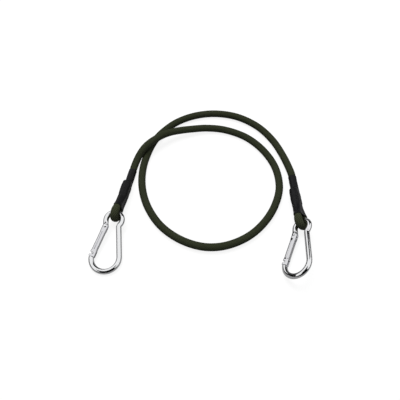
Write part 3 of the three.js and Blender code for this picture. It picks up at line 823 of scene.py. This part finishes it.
def sleeve_piece(name, end, seed, shift, material):
    """The sleeve as one closed surface: outer rings from mouth to neck, a rounded rim, and
    inner rings back. It bulges over the crimp bands and shrinks down between them."""
    spacing = (TAIL_LENGTH - FOLD_LENGTH - 2 * BAND_WIDTH) / 3
    first_band = FOLD_LENGTH + spacing + BAND_WIDTH / 2
    second_band = first_band + BAND_WIDTH + spacing
    places = np.linspace(MOUTH_DISTANCE, end.sleeve_end, SLEEVE_RINGS)
    merge = smooth((places - end.step_start) / STEP_LENGTH)
    hug = np.ones(len(places))
    for band in (first_band, second_band):
        hug = np.minimum(hug, smooth((np.abs(places - band) - BAND_WIDTH / 2) / BAND_EASE))
    hug *= smooth((places - MOUTH_DISTANCE) / MOUTH_EASE) * (1 - merge)
    tight = leg_halves(end, [MOUTH_DISTANCE])[0, 0] + RUNNING_GAP + end.sleeve_wall
    widened = smooth((places - MOUTH_DISTANCE) / (FOLD_LENGTH - MOUTH_DISTANCE))
    outer = tight + (end.sleeve_outer - tight) * widened
    outer = outer + (end.neck_outer - outer) * merge - BAND_SINK * hug
    outer_grid = sleeve_rings(end, places, outer, seed)
    inner_grid = sleeve_rings(end, places[::-1], outer[::-1] - end.sleeve_wall, seed)

    def lip(outer_ring, inner_ring, push):
        """Rings round half a circle as wide as the wall, from the outer to the inner ring."""
        rings = []
        for angle in np.linspace(0, math.pi, RIM_STEPS)[1:-1]:
            share = (1 + math.cos(angle)) / 2
            stands_out = end.sleeve_outward * (push * math.sin(angle) * end.sleeve_wall / 2)
            rings.append(inner_ring + (outer_ring - inner_ring) * share + stands_out)
        return np.array(rings)

    grid = np.concatenate((outer_grid, lip(outer_grid[-1], inner_grid[0], 1), inner_grid,
                           lip(outer_grid[0], inner_grid[-1], -1)[::-1])) + shift
    grid[..., 2] = np.maximum(grid[..., 2], FLOOR_CLEARANCE)
    rows, columns = grid.shape[:2]
    faces = grid_faces(rows, columns, closed=True)
    return new_piece(name, grid.reshape(-1, 3), faces.tolist(), material)


# Node trees and finishes

# Yarns in a strand, their share of its height, and the powers of its sine across and along
YARNS = 4.0
YARN_HEIGHT = 0.3
STRAND_ACROSS = 0.6
STRAND_LENGTHWISE = 0.4
# How much the yarn and the sleeve reflect head on, where the shader's own value is 0.5
DULL_SPECULAR = 0.2
# Depth of each finish's fine relief
BRAID_BUMP = 0.12 * MM
SLEEVE_BUMP = 0.05 * MM
PLATING_BUMP = 0.004 * MM
RUBBER_BUMP = 0.03 * MM


def add_node(tree, kind, inputs=None, **settings):
    """A new node with its settings, and each input given set to a value or linked."""
    made = tree.nodes.new(kind)
    for name, value in settings.items():
        setattr(made, name, value)
    for key, value in (inputs or {}).items():
        socket = made.inputs[key]
        if isinstance(value, bpy.types.NodeSocket):
            tree.links.new(value, socket)
        else:
            socket.default_value = value
    return made


def math_node(tree, operation, *values):
    """The output of a Math node over values or sockets."""
    return add_node(tree, "ShaderNodeMath", dict(enumerate(values)), operation=operation).outputs[0]


def times(tree, first, second):
    """The product of two values or sockets."""
    return math_node(tree, "MULTIPLY", first, second)


def plus(tree, first, second):
    """The sum of two values or sockets."""
    return math_node(tree, "ADD", first, second)


def mix_value(tree, share, first, second):
    """Two values mixed by a share, 0 for the first and 1 for the second."""
    return add_node(tree, "ShaderNodeMix", {0: share, 2: first, 3: second}).outputs[0]


def mix_colour(tree, share, first, second):
    """Two colours mixed by a share, 0 for the first and 1 for the second."""
    return add_node(tree, "ShaderNodeMix", {0: share, 6: first, 7: second},
                    data_type="RGBA").outputs[2]


def spread(tree, value, low, high, to_low=0.0, to_high=1.0):
    """A value carried from one range to another by the smooth cubic, and held past its ends."""
    return add_node(tree, "ShaderNodeMapRange", {0: value, 1: low, 2: high, 3: to_low, 4: to_high},
                    interpolation_type="SMOOTHSTEP").outputs[0]


def new_group(name, inputs, outputs):
    """A shader node group with its sockets, and its input and output nodes."""
    tree = bpy.data.node_groups.new(name, "ShaderNodeTree")
    for socket_name, kind, default in inputs:
        socket = tree.interface.new_socket(socket_name, in_out="INPUT", socket_type=kind)
        if default is not None:
            socket.default_value = default
    for socket_name, kind in outputs:
        tree.interface.new_socket(socket_name, in_out="OUTPUT", socket_type=kind)
    return tree, tree.nodes.new("NodeGroupInput").outputs, tree.nodes.new("NodeGroupOutput").inputs


def braid_group():
    """Woven strands from a surface counted in strands: a = u + v and b = u - v run along the
    two families, and the family on top changes from one diamond to the next. A strand's body
    is sin(pi across) times sin(pi lengthwise), each to its own power, and |sin(pi n across)|
    lays n yarns on it."""
    tree, given, results = new_group(
        "Braid", [("Surface", "NodeSocketVector", None), ("Yarns", "NodeSocketFloat", YARNS)],
        [("Height", "NodeSocketFloat"), ("Valley", "NodeSocketFloat"), ("Yarn", "NodeSocketFloat")])
    place = add_node(tree, "ShaderNodeSeparateXYZ", {0: given["Surface"]}).outputs
    first = plus(tree, place[0], place[1])
    second = math_node(tree, "SUBTRACT", place[0], place[1])
    count = plus(tree, math_node(tree, "FLOOR", first), math_node(tree, "FLOOR", second))
    family = math_node(tree, "FLOORED_MODULO", count, 2.0)
    across_first = math_node(tree, "FRACT", second)
    across_second = math_node(tree, "FRACT", first)
    across = mix_value(tree, family, across_first, across_second)
    lengthwise = mix_value(tree, family, across_second, across_first)
    crown = math_node(tree, "SINE", times(tree, across, math.pi))
    dive = math_node(tree, "SINE", times(tree, lengthwise, math.pi))
    ripple = math_node(tree, "SINE", times(tree, times(tree, across, given["Yarns"]), math.pi))
    yarn = math_node(tree, "ABSOLUTE", ripple)
    body = times(tree, math_node(tree, "POWER", crown, STRAND_ACROSS),
                 math_node(tree, "POWER", dive, STRAND_LENGTHWISE))
    height = plus(tree, times(tree, body, 1 - YARN_HEIGHT), times(tree, yarn, YARN_HEIGHT))
    tree.links.new(height, results["Height"])
    # The valley mask, which the braid's colour darkens as painted shade.
    valley = spread(tree, body, low=0.25, high=0.75, to_low=1.0, to_high=0.0)
    tree.links.new(valley, results["Valley"])
    tree.links.new(yarn, results["Yarn"])
    return tree


def between(tree, mask, low, high):
    """A mask carried smoothly to a range: low where it is 0 and high where it is 1."""
    return spread(tree, mask, 0.0, 1.0, low, high)


def tinted(tree, mask, colour, other, strength):
    """A colour that goes towards another where a mask is high, by a share of the mask."""
    return mix_colour(tree, times(tree, mask, strength), colour, other)


def noise_node(tree, place, scale, detail, roughness=0.5):
    """The output of a noise over places, from 0 to 1."""
    return add_node(tree, "ShaderNodeTexNoise", {"Vector": place, "Scale": scale, "Detail": detail,
                                                 "Roughness": roughness}).outputs[0]


def patches_group():
    """Slow patches and fine grain from one place: two noises, the patches stretched to 0 and 1."""
    tree, given, results = new_group(
        "Patches", [("Place", "NodeSocketVector", None), ("Patch Scale", "NodeSocketFloat", 60.0),
                    ("Grain Scale", "NodeSocketFloat", 2500.0)],
        [("Patch", "NodeSocketFloat"), ("Grain", "NodeSocketFloat")])
    patch = noise_node(tree, given["Place"], given["Patch Scale"], detail=3.0)
    grain = noise_node(tree, given["Place"], given["Grain Scale"], detail=2.0)
    tree.links.new(spread(tree, patch, low=0.35, high=0.65), results["Patch"])
    tree.links.new(grain, results["Grain"])
    return tree


def scratches_group():
    """Fine handling scratches: a noise eight times longer one way than across it, kept where
    it is high."""
    tree, given, results = new_group(
        "Scratches", [("Place", "NodeSocketVector", None), ("Scale", "NodeSocketFloat", 260.0)],
        [("Scratch", "NodeSocketFloat")])
    stretched = add_node(tree, "ShaderNodeMapping", {
        "Vector": given["Place"], "Rotation": (0.3, 0.2, 0.5), "Scale": (1.0, 8.0, 8.0)}).outputs[0]
    noise = noise_node(tree, stretched, given["Scale"], detail=4.0, roughness=0.6)
    tree.links.new(spread(tree, noise, low=0.56, high=0.72), results["Scratch"])
    return tree


def placed_group(tree, name, maker, inputs):
    """Outputs of a shared group placed in a material, with its inputs set or linked. The group
    of that name is built the first time it is asked for."""
    group = bpy.data.node_groups.get(name) or maker()
    return add_node(tree, "ShaderNodeGroup", inputs, node_tree=group).outputs


def patches_at(tree, place, patch_scale, grain_scale):
    """Outputs of the patches group, its scales in lumps a metre."""
    return placed_group(tree, "Patches", patches_group, {
        "Place": place, "Patch Scale": patch_scale, "Grain Scale": grain_scale})


def scratches_at(tree, place, scale):
    """Output of the scratches group, its scale in lumps a metre."""
    return placed_group(tree, "Scratches", scratches_group, {
        "Place": place, "Scale": scale})["Scratch"]


def shaded(colour, factor):
    """A colour made paler or darker by a factor."""
    return tuple(min(1, channel * factor) for channel in colour[:3]) + (1,)


def new_material(name, colour):
    """A material, its node tree, its shader with the colour set, and object coordinates."""
    material = bpy.data.materials.new(name)
    material.use_nodes = True
    material.diffuse_color = colour
    tree = material.node_tree
    shader = tree.nodes["Principled BSDF"]
    shader.inputs["Base Color"].default_value = colour
    place = tree.nodes.new("ShaderNodeTexCoord").outputs["Object"]
    return material, tree, shader, place


def bump(tree, shader, height, depth):
    """The shader's normal from a height from 0 to 1 and its depth in metres."""
    made = add_node(tree, "ShaderNodeBump", {"Height": height, "Distance": depth, "Strength": 1.0})
    tree.links.new(made.outputs[0], shader.inputs["Normal"])


def braided_material(name, colour, colours):
    """Polyester braid: painted shade in the valleys between the strands, painted highlights on the
    yarn crowns with a fine fading, and slow patches of sheen."""
    material, tree, shader, place = new_material(name, colour)
    surface = tree.nodes.new("ShaderNodeUVMap")
    surface.uv_map = "Surface"
    braid = placed_group(tree, "Braid", braid_group, {"Surface": surface.outputs[0], "Yarns": YARNS})
    patches = patches_at(tree, place, patch_scale=45.0, grain_scale=3200.0)
    # Painted highlight: the yarn crowns are lighter.
    yarn = tinted(tree, braid["Yarn"], colour, shaded(colour, 1.5), strength=0.75)
    faded = tinted(tree, patches["Grain"], yarn, colour, strength=0.5)
    # Painted shade: the valleys between the strands go darker.
    valley_shaded = tinted(tree, braid["Valley"], faded, colours.braid_valley_shade, strength=0.85)
    tree.links.new(valley_shaded, shader.inputs["Base Color"])
    tree.links.new(between(tree, patches["Patch"], low=0.66, high=0.8), shader.inputs["Roughness"])
    shader.inputs["Specular IOR Level"].default_value = DULL_SPECULAR
    fuzz = times(tree, patches["Grain"], 0.2)
    bump(tree, shader, plus(tree, braid["Height"], fuzz), BRAID_BUMP)
    return material


def braid_material(colours):
    """Olive braid of the free stretch."""
    return braided_material("olive_braid", colours.braid, colours)


def painted_light_braid_material(colours):
    """Braid of the folded ends, made paler as painted light for the light that the hooks and the floor
    throw onto them.
    """
    return braided_material("painted_light_braid", colours.painted_light_braid, colours)


def sleeve_material(colours):
    """Shrunk polyolefin: charcoal, satin, with a fine pebble and rubbed patches."""
    material, tree, shader, place = new_material("shrunk_sleeve", colours.sleeve)
    patches = patches_at(tree, place, patch_scale=90.0, grain_scale=1500.0)
    rubbed = tinted(tree, patches["Patch"], colours.sleeve, shaded(colours.sleeve, 1.7), strength=0.45)
    tree.links.new(rubbed, shader.inputs["Base Color"])
    tree.links.new(between(tree, patches["Patch"], low=0.42, high=0.56), shader.inputs["Roughness"])
    shader.inputs["Specular IOR Level"].default_value = DULL_SPECULAR
    bump(tree, shader, patches["Grain"], SLEEVE_BUMP)
    return material


def plated_material(name, colour):
    """Nickel plating, with slow patches of gloss and faint handling marks."""
    material, tree, shader, place = new_material(name, colour)
    shader.inputs["Metallic"].default_value = 1.0
    patches = patches_at(tree, place, patch_scale=120.0, grain_scale=4000.0)
    scratch = scratches_at(tree, place, scale=260.0)
    marked = tinted(tree, scratch, colour, shaded(colour, 0.86), strength=0.5)
    tree.links.new(marked, shader.inputs["Base Color"])
    gloss = between(tree, patches["Patch"], low=0.07, high=0.11)
    tree.links.new(plus(tree, gloss, times(tree, scratch, 0.12)), shader.inputs["Roughness"])
    bump(tree, shader, patches["Grain"], PLATING_BUMP)
    return material


def plating_material(colours):
    """Bright nickel of the wire, rivets and pins."""
    return plated_material("nickel_plating", colours.plating)


def gate_material(colours):
    """Duller nickel of the gates."""
    return plated_material("gate_plating", colours.gate_plating)


def steel_material(colours):
    """Drawn steel of springs and bands: grey, satin, with fine darker marks."""
    material, tree, shader, place = new_material("drawn_steel", colours.steel)
    shader.inputs["Metallic"].default_value = 1.0
    scratch = scratches_at(tree, place, scale=700.0)
    marked = mix_colour(tree, scratch, colours.steel, shaded(colours.steel, 0.6))
    tree.links.new(marked, shader.inputs["Base Color"])
    tree.links.new(between(tree, scratch, low=0.28, high=0.45), shader.inputs["Roughness"])
    return material


def rubber_material(colours):
    """Natural latex: dull tan with a dusting of powder."""
    material, tree, shader, place = new_material("latex", colours.rubber)
    patches = patches_at(tree, place, patch_scale=150.0, grain_scale=2200.0)
    dusted = mix_colour(tree, patches["Patch"], colours.rubber, shaded(colours.rubber, 1.35))
    tree.links.new(dusted, shader.inputs["Base Color"])
    shader.inputs["Roughness"].default_value = 0.7
    bump(tree, shader, patches["Grain"], RUBBER_BUMP)
    return material


MATERIAL_MAKERS = {
    "olive_braid": braid_material,
    "painted_light_braid": painted_light_braid_material,
    "shrunk_sleeve": sleeve_material,
    "nickel_plating": plating_material,
    "gate_plating": gate_material,
    "drawn_steel": steel_material,
    "latex": rubber_material,
}


def finish_named(name):
    """The finish of that name in the scene's colours, built the first time it is asked for."""
    return bpy.data.materials.get(name) or MATERIAL_MAKERS[name](bpy.context.scene.bungee_colours)


# Layout

def layout_shift(sizes):
    """How far the ends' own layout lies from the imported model: from where a hinge is drawn to
    the middle of its packed rivet, which has to be the same at both ends."""
    shape = hook_shape(sizes)
    shifts = []
    for side in SIDES:
        end = end_frame(side, sizes)
        drawn = end.eye + end.turn @ (shape.hinge - shape.eye_centre)
        low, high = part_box(f"{side}_hinge_rivet")
        shifts.append(np.array((low + high) / 2) - drawn)
    if np.abs(shifts[0] - shifts[1]).max() > LAYOUT_TOLERANCE:
        raise RuntimeError(f"the two ends don't match the packed model: {shifts}")
    return (shifts[0] + shifts[1]) / 2


def put_hook(side, sizes, shift):
    """The function that carries places in the flat hook to where that hook lies."""
    end = end_frame(side, sizes)
    shape = hook_shape(sizes)
    return lambda vertices: (vertices - shape.eye_centre) @ end.turn.T + end.eye + shift


def settings():
    """The sizes, the two ends' frames and the layout's shift."""
    sizes = bpy.context.scene.bungee_sizes
    return sizes, {side: end_frame(side, sizes) for side in SIDES}, layout_shift(sizes)


class BUNGEE_OT_camera(bpy.types.Operator):
    """Set the camera at the photograph's viewing angle"""

    bl_idname = "bungee.camera"
    bl_label = "Camera"

    def execute(self, context):
        shift = layout_shift(context.scene.bungee_sizes)
        data = bpy.data.cameras.new("camera")
        data.sensor_width = SENSOR_WIDTH
        data.lens = CAMERA_PIXELS / PHOTO_WIDTH * SENSOR_WIDTH
        data.clip_start = NEAREST_SEEN
        camera = bpy.data.objects.new("camera", data)
        context.scene.collection.objects.link(camera)
        back = np.array((0, -math.cos(CAMERA_ELEVATION), math.sin(CAMERA_ELEVATION)))
        camera.location = shift + back * CAMERA_DISTANCE
        camera.rotation_euler = (math.pi / 2 - CAMERA_ELEVATION, 0, 0)
        context.scene.camera = camera
        return {"FINISHED"}


class BUNGEE_OT_cord(bpy.types.Operator):
    """Lay the free stretch of braided cord and its rubber core"""

    bl_idname = "bungee.cord"
    bl_label = "Cord"

    def execute(self, context):
        sizes, ends, shift = settings()
        curve = centripetal(free_route(ends, sizes))
        along = lengths_along(curve)
        line = read_at(curve, along, np.linspace(0, along[-1], round(along[-1] / LINE_STEP) + 1))
        reached = lengths_along(line)
        inset = np.minimum(reached, reached[-1] - reached)
        full = sizes.cord_diameter / 2 + BRAID_FULLNESS
        radii = eased(SLEEVED_DIAMETER / 2, full, inset / NECK_SWELL)
        halves = np.stack((radii, radii), axis=1)
        up = np.array((0.0, 0.0, 1.0))
        cover = braided_piece("braided_cover", line, halves, up, sizes, shift,
                              finish_named("olive_braid"))
        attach(cover, "cord")
        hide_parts("braided_sheath")
        # The core has half as many rings and stops two short of each end
        core_line = line[2:-2:2]
        core_halves = halves[2:-2:2] - sizes.braid_wall - RUNNING_GAP
        core = core_piece("latex_core", core_line, core_halves, up, shift, finish_named("latex"))
        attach(core, "cord")
        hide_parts("rubber_core")
        return {"FINISHED"}


class BUNGEE_OT_eyes(bpy.types.Operator):
    """Fold each end of the cord over its hook's wire"""

    bl_idname = "bungee.eyes"
    bl_label = "Folded Ends"

    def execute(self, context):
        sizes, ends, shift = settings()
        for side, end in ends.items():
            line, halves = folded_line(end, end.sleeve_end - NECK_INSET - RUNNING_GAP)
            # Turned so that the fold's own side stays at the side all the way round
            rise = np.cross(directions_of(line), end.side)
            # The folded ends get the paler braid, whose extra lightness is painted light.
            cover = braided_piece(f"{side}_eye_cover", line, halves, rise, sizes, shift,
                                  finish_named("painted_light_braid"))
            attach(cover, "cord")
            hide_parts(f"{side}_eye_sheath")
            core_halves = halves[1:-1] - sizes.braid_wall - RUNNING_GAP
            core = core_piece(f"{side}_eye_latex", line[1:-1], core_halves, rise[1:-1], shift,
                              finish_named("latex"))
            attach(core, "cord")
            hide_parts(f"{side}_eye_core")
        return {"FINISHED"}


class BUNGEE_OT_sleeves(bpy.types.Operator):
    """Shrink a sleeve over each folded end"""

    bl_idname = "bungee.sleeves"
    bl_label = "Sleeves"

    def execute(self, context):
        _, ends, shift = settings()
        for seed, (side, end) in enumerate(ends.items()):
            sleeve = sleeve_piece(f"{side}_shrunk_sleeve", end, LUMP_SEED + seed, shift,
                                  finish_named("shrunk_sleeve"))
            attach(sleeve, "cord")
            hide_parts(f"{side}_sleeve")
        return {"FINISHED"}


class BUNGEE_OT_hooks(bpy.types.Operator):
    """Bend the wire frame of each hook"""

    bl_idname = "bungee.hooks"
    bl_label = "Hook Frames"

    def execute(self, context):
        sizes, _, shift = settings()
        shape = hook_shape(sizes)
        for side in SIDES:
            hook = hook_frame_piece(f"{side}_wire_frame", shape, put_hook(side, sizes, shift),
                                    finish_named("nickel_plating"))
            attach(hook, f"{side}_hook")
            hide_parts(f"{side}_hook_frame")
        return {"FINISHED"}


class BUNGEE_OT_gates(bpy.types.Operator):
    """Make the sprung gate of each hook"""

    bl_idname = "bungee.gates"
    bl_label = "Gates"

    def execute(self, context):
        sizes, _, shift = settings()
        shape = hook_shape(sizes)
        for side in SIDES:
            gate = gate_piece(f"{side}_gate_tube", shape, sizes, put_hook(side, sizes, shift),
                              finish_named("gate_plating"))
            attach(gate, f"{side}_gate")
            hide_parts(f"{side}_gate")
        return {"FINISHED"}


class BUNGEE_OT_pins(bpy.types.Operator):
    """Turn the hinge rivets and nose pins"""

    bl_idname = "bungee.pins"
    bl_label = "Rivets and Pins"

    def execute(self, context):
        sizes, _, shift = settings()
        shape = hook_shape(sizes)
        face = sizes.gate_thickness / 2 + SEAT_GAP
        head, shank = RIVET_HEAD / 2, RIVET_DIAMETER / 2
        dome = [(head * math.cos(angle), face + RIVET_CROWN * math.sin(angle))
                for angle in np.linspace(RIVET_RIM, math.pi / 2 - RIVET_RIM, DOME_STEPS)]
        upper = [(shank, face - EDGE_ROUND), (shank, face), (head * RIVET_FACE, face), *dome]
        lower = [(radius, -place) for radius, place in reversed(upper)]
        crown = face + RIVET_CROWN
        rivet = turned([(0, -crown), *lower, *upper, (0, crown)])
        half = (sizes.gate_thickness - SEAT_GAP) / 2
        radius = NOSE_PIN / 2
        pin = turned([(0, -half), (radius - EDGE_ROUND, -half), (radius, EDGE_ROUND - half),
                      (radius, half - EDGE_ROUND), (radius - EDGE_ROUND, half), (0, half)])
        pin_place = turning(2, shape.gate_turn) @ np.array((0, shape.pin, 0)) + shape.hinge
        for side in SIDES:
            put = put_hook(side, sizes, shift)
            for name, node, (vertices, faces), middle in (
                    ("rivet", "hinge_rivet", rivet, shape.hinge),
                    ("pin", "nose_pin", pin, pin_place)):
                piece = new_piece(f"{side}_{name}", put(vertices + middle), faces,
                                  finish_named("nickel_plating"))
                piece.data.set_sharp_from_angle(angle=SHARP_ANGLE)
                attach(piece, f"{side}_hook")
                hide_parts(f"{side}_{node}")
        return {"FINISHED"}


class BUNGEE_OT_inner_metal(bpy.types.Operator):
    """Finish the crimp bands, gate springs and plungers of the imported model"""

    bl_idname = "bungee.inner_metal"
    bl_label = "Bands and Springs"

    def execute(self, context):
        for side in SIDES:
            for part in ("inner_crimp", "outer_crimp", "gate_spring", "spring_plunger"):
                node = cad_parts[f"{side}_{part}"]
                for slot in node.material_slots:
                    slot.material = finish_named("drawn_steel")
        return {"FINISHED"}


# Stage

WHITE = (1, 1, 1, 1)
CLOTH_COLOUR = (0.02, 0.02, 0.02, 1)
# Floor and screen, in metres round the cord
FLOOR_SIZE = 3.0
FLOOR_DROP = 0.15 * MM
SCREEN_RADIUS = 1.6
SCREEN_COLUMNS = 120
SCREEN_ROWS = 24
# Where the screen begins, as a share of its height, and how high it is between its rises
SCREEN_FOOT = 0.01
SCREEN_BAND = math.radians(5)
# Each rise of the screen: the heading of its middle, its height and how tight it is
SCREEN_RISES = ((math.radians(-86), math.radians(80), 4), (math.radians(72), math.radians(64), 7),
                (math.radians(178), math.radians(22), 3), (math.radians(5), math.radians(16), 3))
# Round dark panel beyond the camera, to its left: its heading, elevation and half width,
# seen from the cord
PANEL_HEADING = math.radians(-110)
PANEL_ELEVATION = math.radians(62)
PANEL_REACH = math.radians(24)
# Soft lamp: its place and size in metres and its power in watts
LAMP_PLACE = (-0.2, 0.6, 1.3)
LAMP_SIZE = 0.9
LAMP_POWER = 17
# Glow of the floor to the camera and to reflections, and strength of the sky as seen and as light
FLOOR_GLOW_SEEN = 0.86
FLOOR_GLOW_REFLECTED = 0.18
SKY_SEEN = 1.0
SKY_LIGHT = 0.42


def stage_material(name, colour, glow_seen, glow_reflected):
    """A matt surface that the camera sees with one glow added, and reflections with another."""
    material = bpy.data.materials.new(name)
    material.use_nodes = True
    tree = material.node_tree
    tree.nodes.remove(tree.nodes["Principled BSDF"])
    seen = tree.nodes.new("ShaderNodeLightPath").outputs
    reflected = math_node(tree, "MAXIMUM", seen["Is Glossy Ray"], seen["Is Transmission Ray"])
    strength = plus(tree, times(tree, seen["Is Camera Ray"], glow_seen),
                    times(tree, reflected, glow_reflected))
    glowing = add_node(tree, "ShaderNodeEmission", {"Color": WHITE, "Strength": strength})
    matt = add_node(tree, "ShaderNodeBsdfDiffuse", {"Color": colour})
    both = add_node(tree, "ShaderNodeAddShader", {0: glowing.outputs[0], 1: matt.outputs[0]})
    tree.links.new(both.outputs[0], tree.nodes["Material Output"].inputs["Surface"])
    return material


class BUNGEE_OT_stage(bpy.types.Operator):
    """Set the pale floor, the soft light and the dark screens that bright metal reflects"""

    bl_idname = "bungee.stage"
    bl_label = "Stage"

    def execute(self, context):
        scene = context.scene
        scene.view_settings.view_transform = "Standard"
        self.add_floor(scene.bungee_colours)
        self.add_screen()
        self.add_lamp(scene)
        self.add_world(scene)
        return {"FINISHED"}

    def add_floor(self, colours):
        """A square of pale paper just under the cord."""
        half = FLOOR_SIZE / 2
        corners = [(-half, -half, -FLOOR_DROP), (half, -half, -FLOOR_DROP),
                   (half, half, -FLOOR_DROP), (-half, half, -FLOOR_DROP)]
        paper = stage_material("pale_paper", colours.floor, FLOOR_GLOW_SEEN, FLOOR_GLOW_REFLECTED)
        floor = new_piece("floor", corners, [(0, 1, 2, 3)], paper)

    def add_screen(self):
        """Part of a dark sphere round the cord, seen only in reflections: a low band all
        round, raised in a bell-shaped hump on each of the four sides, and a round panel set
        as a cap on the same sphere."""
        azimuth = np.linspace(0, 2 * math.pi, SCREEN_COLUMNS, endpoint=False)
        top = np.full(len(azimuth), SCREEN_BAND)
        for heading, rise, tightness in SCREEN_RISES:
            hump = np.exp((np.cos(azimuth - heading) - 1) * tightness)
            top = np.maximum(top, SCREEN_BAND + (rise - SCREEN_BAND) * hump)
        height = np.linspace(SCREEN_FOOT, 1, SCREEN_ROWS)[:, None] * top
        grid = SCREEN_RADIUS * np.stack((np.cos(height) * np.cos(azimuth),
                                         np.cos(height) * np.sin(azimuth), np.sin(height)), axis=-1)
        cloth = stage_material("dark_cloth", CLOTH_COLOUR, 0.0, 0.0)
        faces = grid_faces(SCREEN_ROWS, SCREEN_COLUMNS)
        screen = new_piece("dark_screen", grid.reshape(-1, 3), faces.tolist(), cloth)
        facing = turning(2, PANEL_HEADING) @ turning(1, math.pi / 2 - PANEL_ELEVATION)
        disc = np.column_stack((round_outline(SCREEN_RADIUS * math.sin(PANEL_REACH)),
                                np.full(TURNED_SIDES, SCREEN_RADIUS * math.cos(PANEL_REACH))))
        panel = new_piece("dark_panel", disc @ facing.T, [list(range(TURNED_SIDES))], cloth)
        for each in (screen, panel):
            each.visible_camera = False
            each.visible_diffuse = False
            each.visible_shadow = False

    def add_lamp(self, scene):
        """One large soft lamp above and behind, aimed at the cord and left out of reflections."""
        data = bpy.data.lights.new("soft_lamp", "AREA")
        data.shape = "SQUARE"
        data.size = LAMP_SIZE
        data.energy = LAMP_POWER
        lamp = bpy.data.objects.new("soft_lamp", data)
        lamp.location = LAMP_PLACE
        lamp.rotation_euler = Vector(LAMP_PLACE).to_track_quat("Z", "Y").to_euler()
        lamp.visible_glossy = False
        scene.collection.objects.link(lamp)

    def add_world(self, scene):
        """An even light, which the camera and reflections see as white."""
        world = bpy.data.worlds.new("studio")
        scene.world = world
        world.use_nodes = True
        tree = world.node_tree
        seen = tree.nodes.new("ShaderNodeLightPath").outputs
        direct = math_node(
            tree, "MAXIMUM", seen["Is Camera Ray"],
            math_node(tree, "MAXIMUM", seen["Is Glossy Ray"], seen["Is Transmission Ray"]))
        strength = math_node(tree, "MULTIPLY_ADD", direct, SKY_SEEN - SKY_LIGHT, SKY_LIGHT)
        tree.links.new(strength, tree.nodes["Background"].inputs["Strength"])
        tree.nodes["Background"].inputs["Color"].default_value = WHITE


OPERATORS = (BUNGEE_OT_camera, BUNGEE_OT_cord, BUNGEE_OT_eyes, BUNGEE_OT_sleeves, BUNGEE_OT_hooks,
             BUNGEE_OT_gates, BUNGEE_OT_pins, BUNGEE_OT_inner_metal, BUNGEE_OT_stage)


class BUNGEE_PT_panel(bpy.types.Panel):
    """Sidebar list of the cord's sizes, colours and pieces"""

    bl_idname = "BUNGEE_PT_panel"
    bl_label = "Bungee Cord"
    bl_space_type = "VIEW_3D"
    bl_region_type = "UI"
    bl_category = "Bungee Cord"

    def draw(self, context):
        for group in (context.scene.bungee_sizes, context.scene.bungee_colours):
            column = self.layout.column()
            for name in group.__annotations__:
                column.prop(group, name)
        for operator in OPERATORS:
            self.layout.operator(operator.bl_idname)


CLASSES = (BungeeSizes, BungeeColours, *OPERATORS, BUNGEE_PT_panel)


def register():
    """Registers the classes and puts the settings on the scene."""
    for each in CLASSES:
        bpy.utils.register_class(each)
    bpy.types.Scene.bungee_sizes = bpy.props.PointerProperty(type=BungeeSizes)
    bpy.types.Scene.bungee_colours = bpy.props.PointerProperty(type=BungeeColours)


def unregister():
    """Takes the settings off the scene and unregisters the classes."""
    del bpy.types.Scene.bungee_colours
    del bpy.types.Scene.bungee_sizes
    for each in reversed(CLASSES):
        bpy.utils.unregister_class(each)


def main():
    """Builds every piece and the stage."""
    register()
    bpy.ops.bungee.camera()
    bpy.ops.bungee.cord()
    bpy.ops.bungee.eyes()
    bpy.ops.bungee.sleeves()
    bpy.ops.bungee.hooks()
    bpy.ops.bungee.gates()
    bpy.ops.bungee.pins()
    bpy.ops.bungee.inner_metal()
    bpy.ops.bungee.stage()


if __name__ == "__main__":
    main()
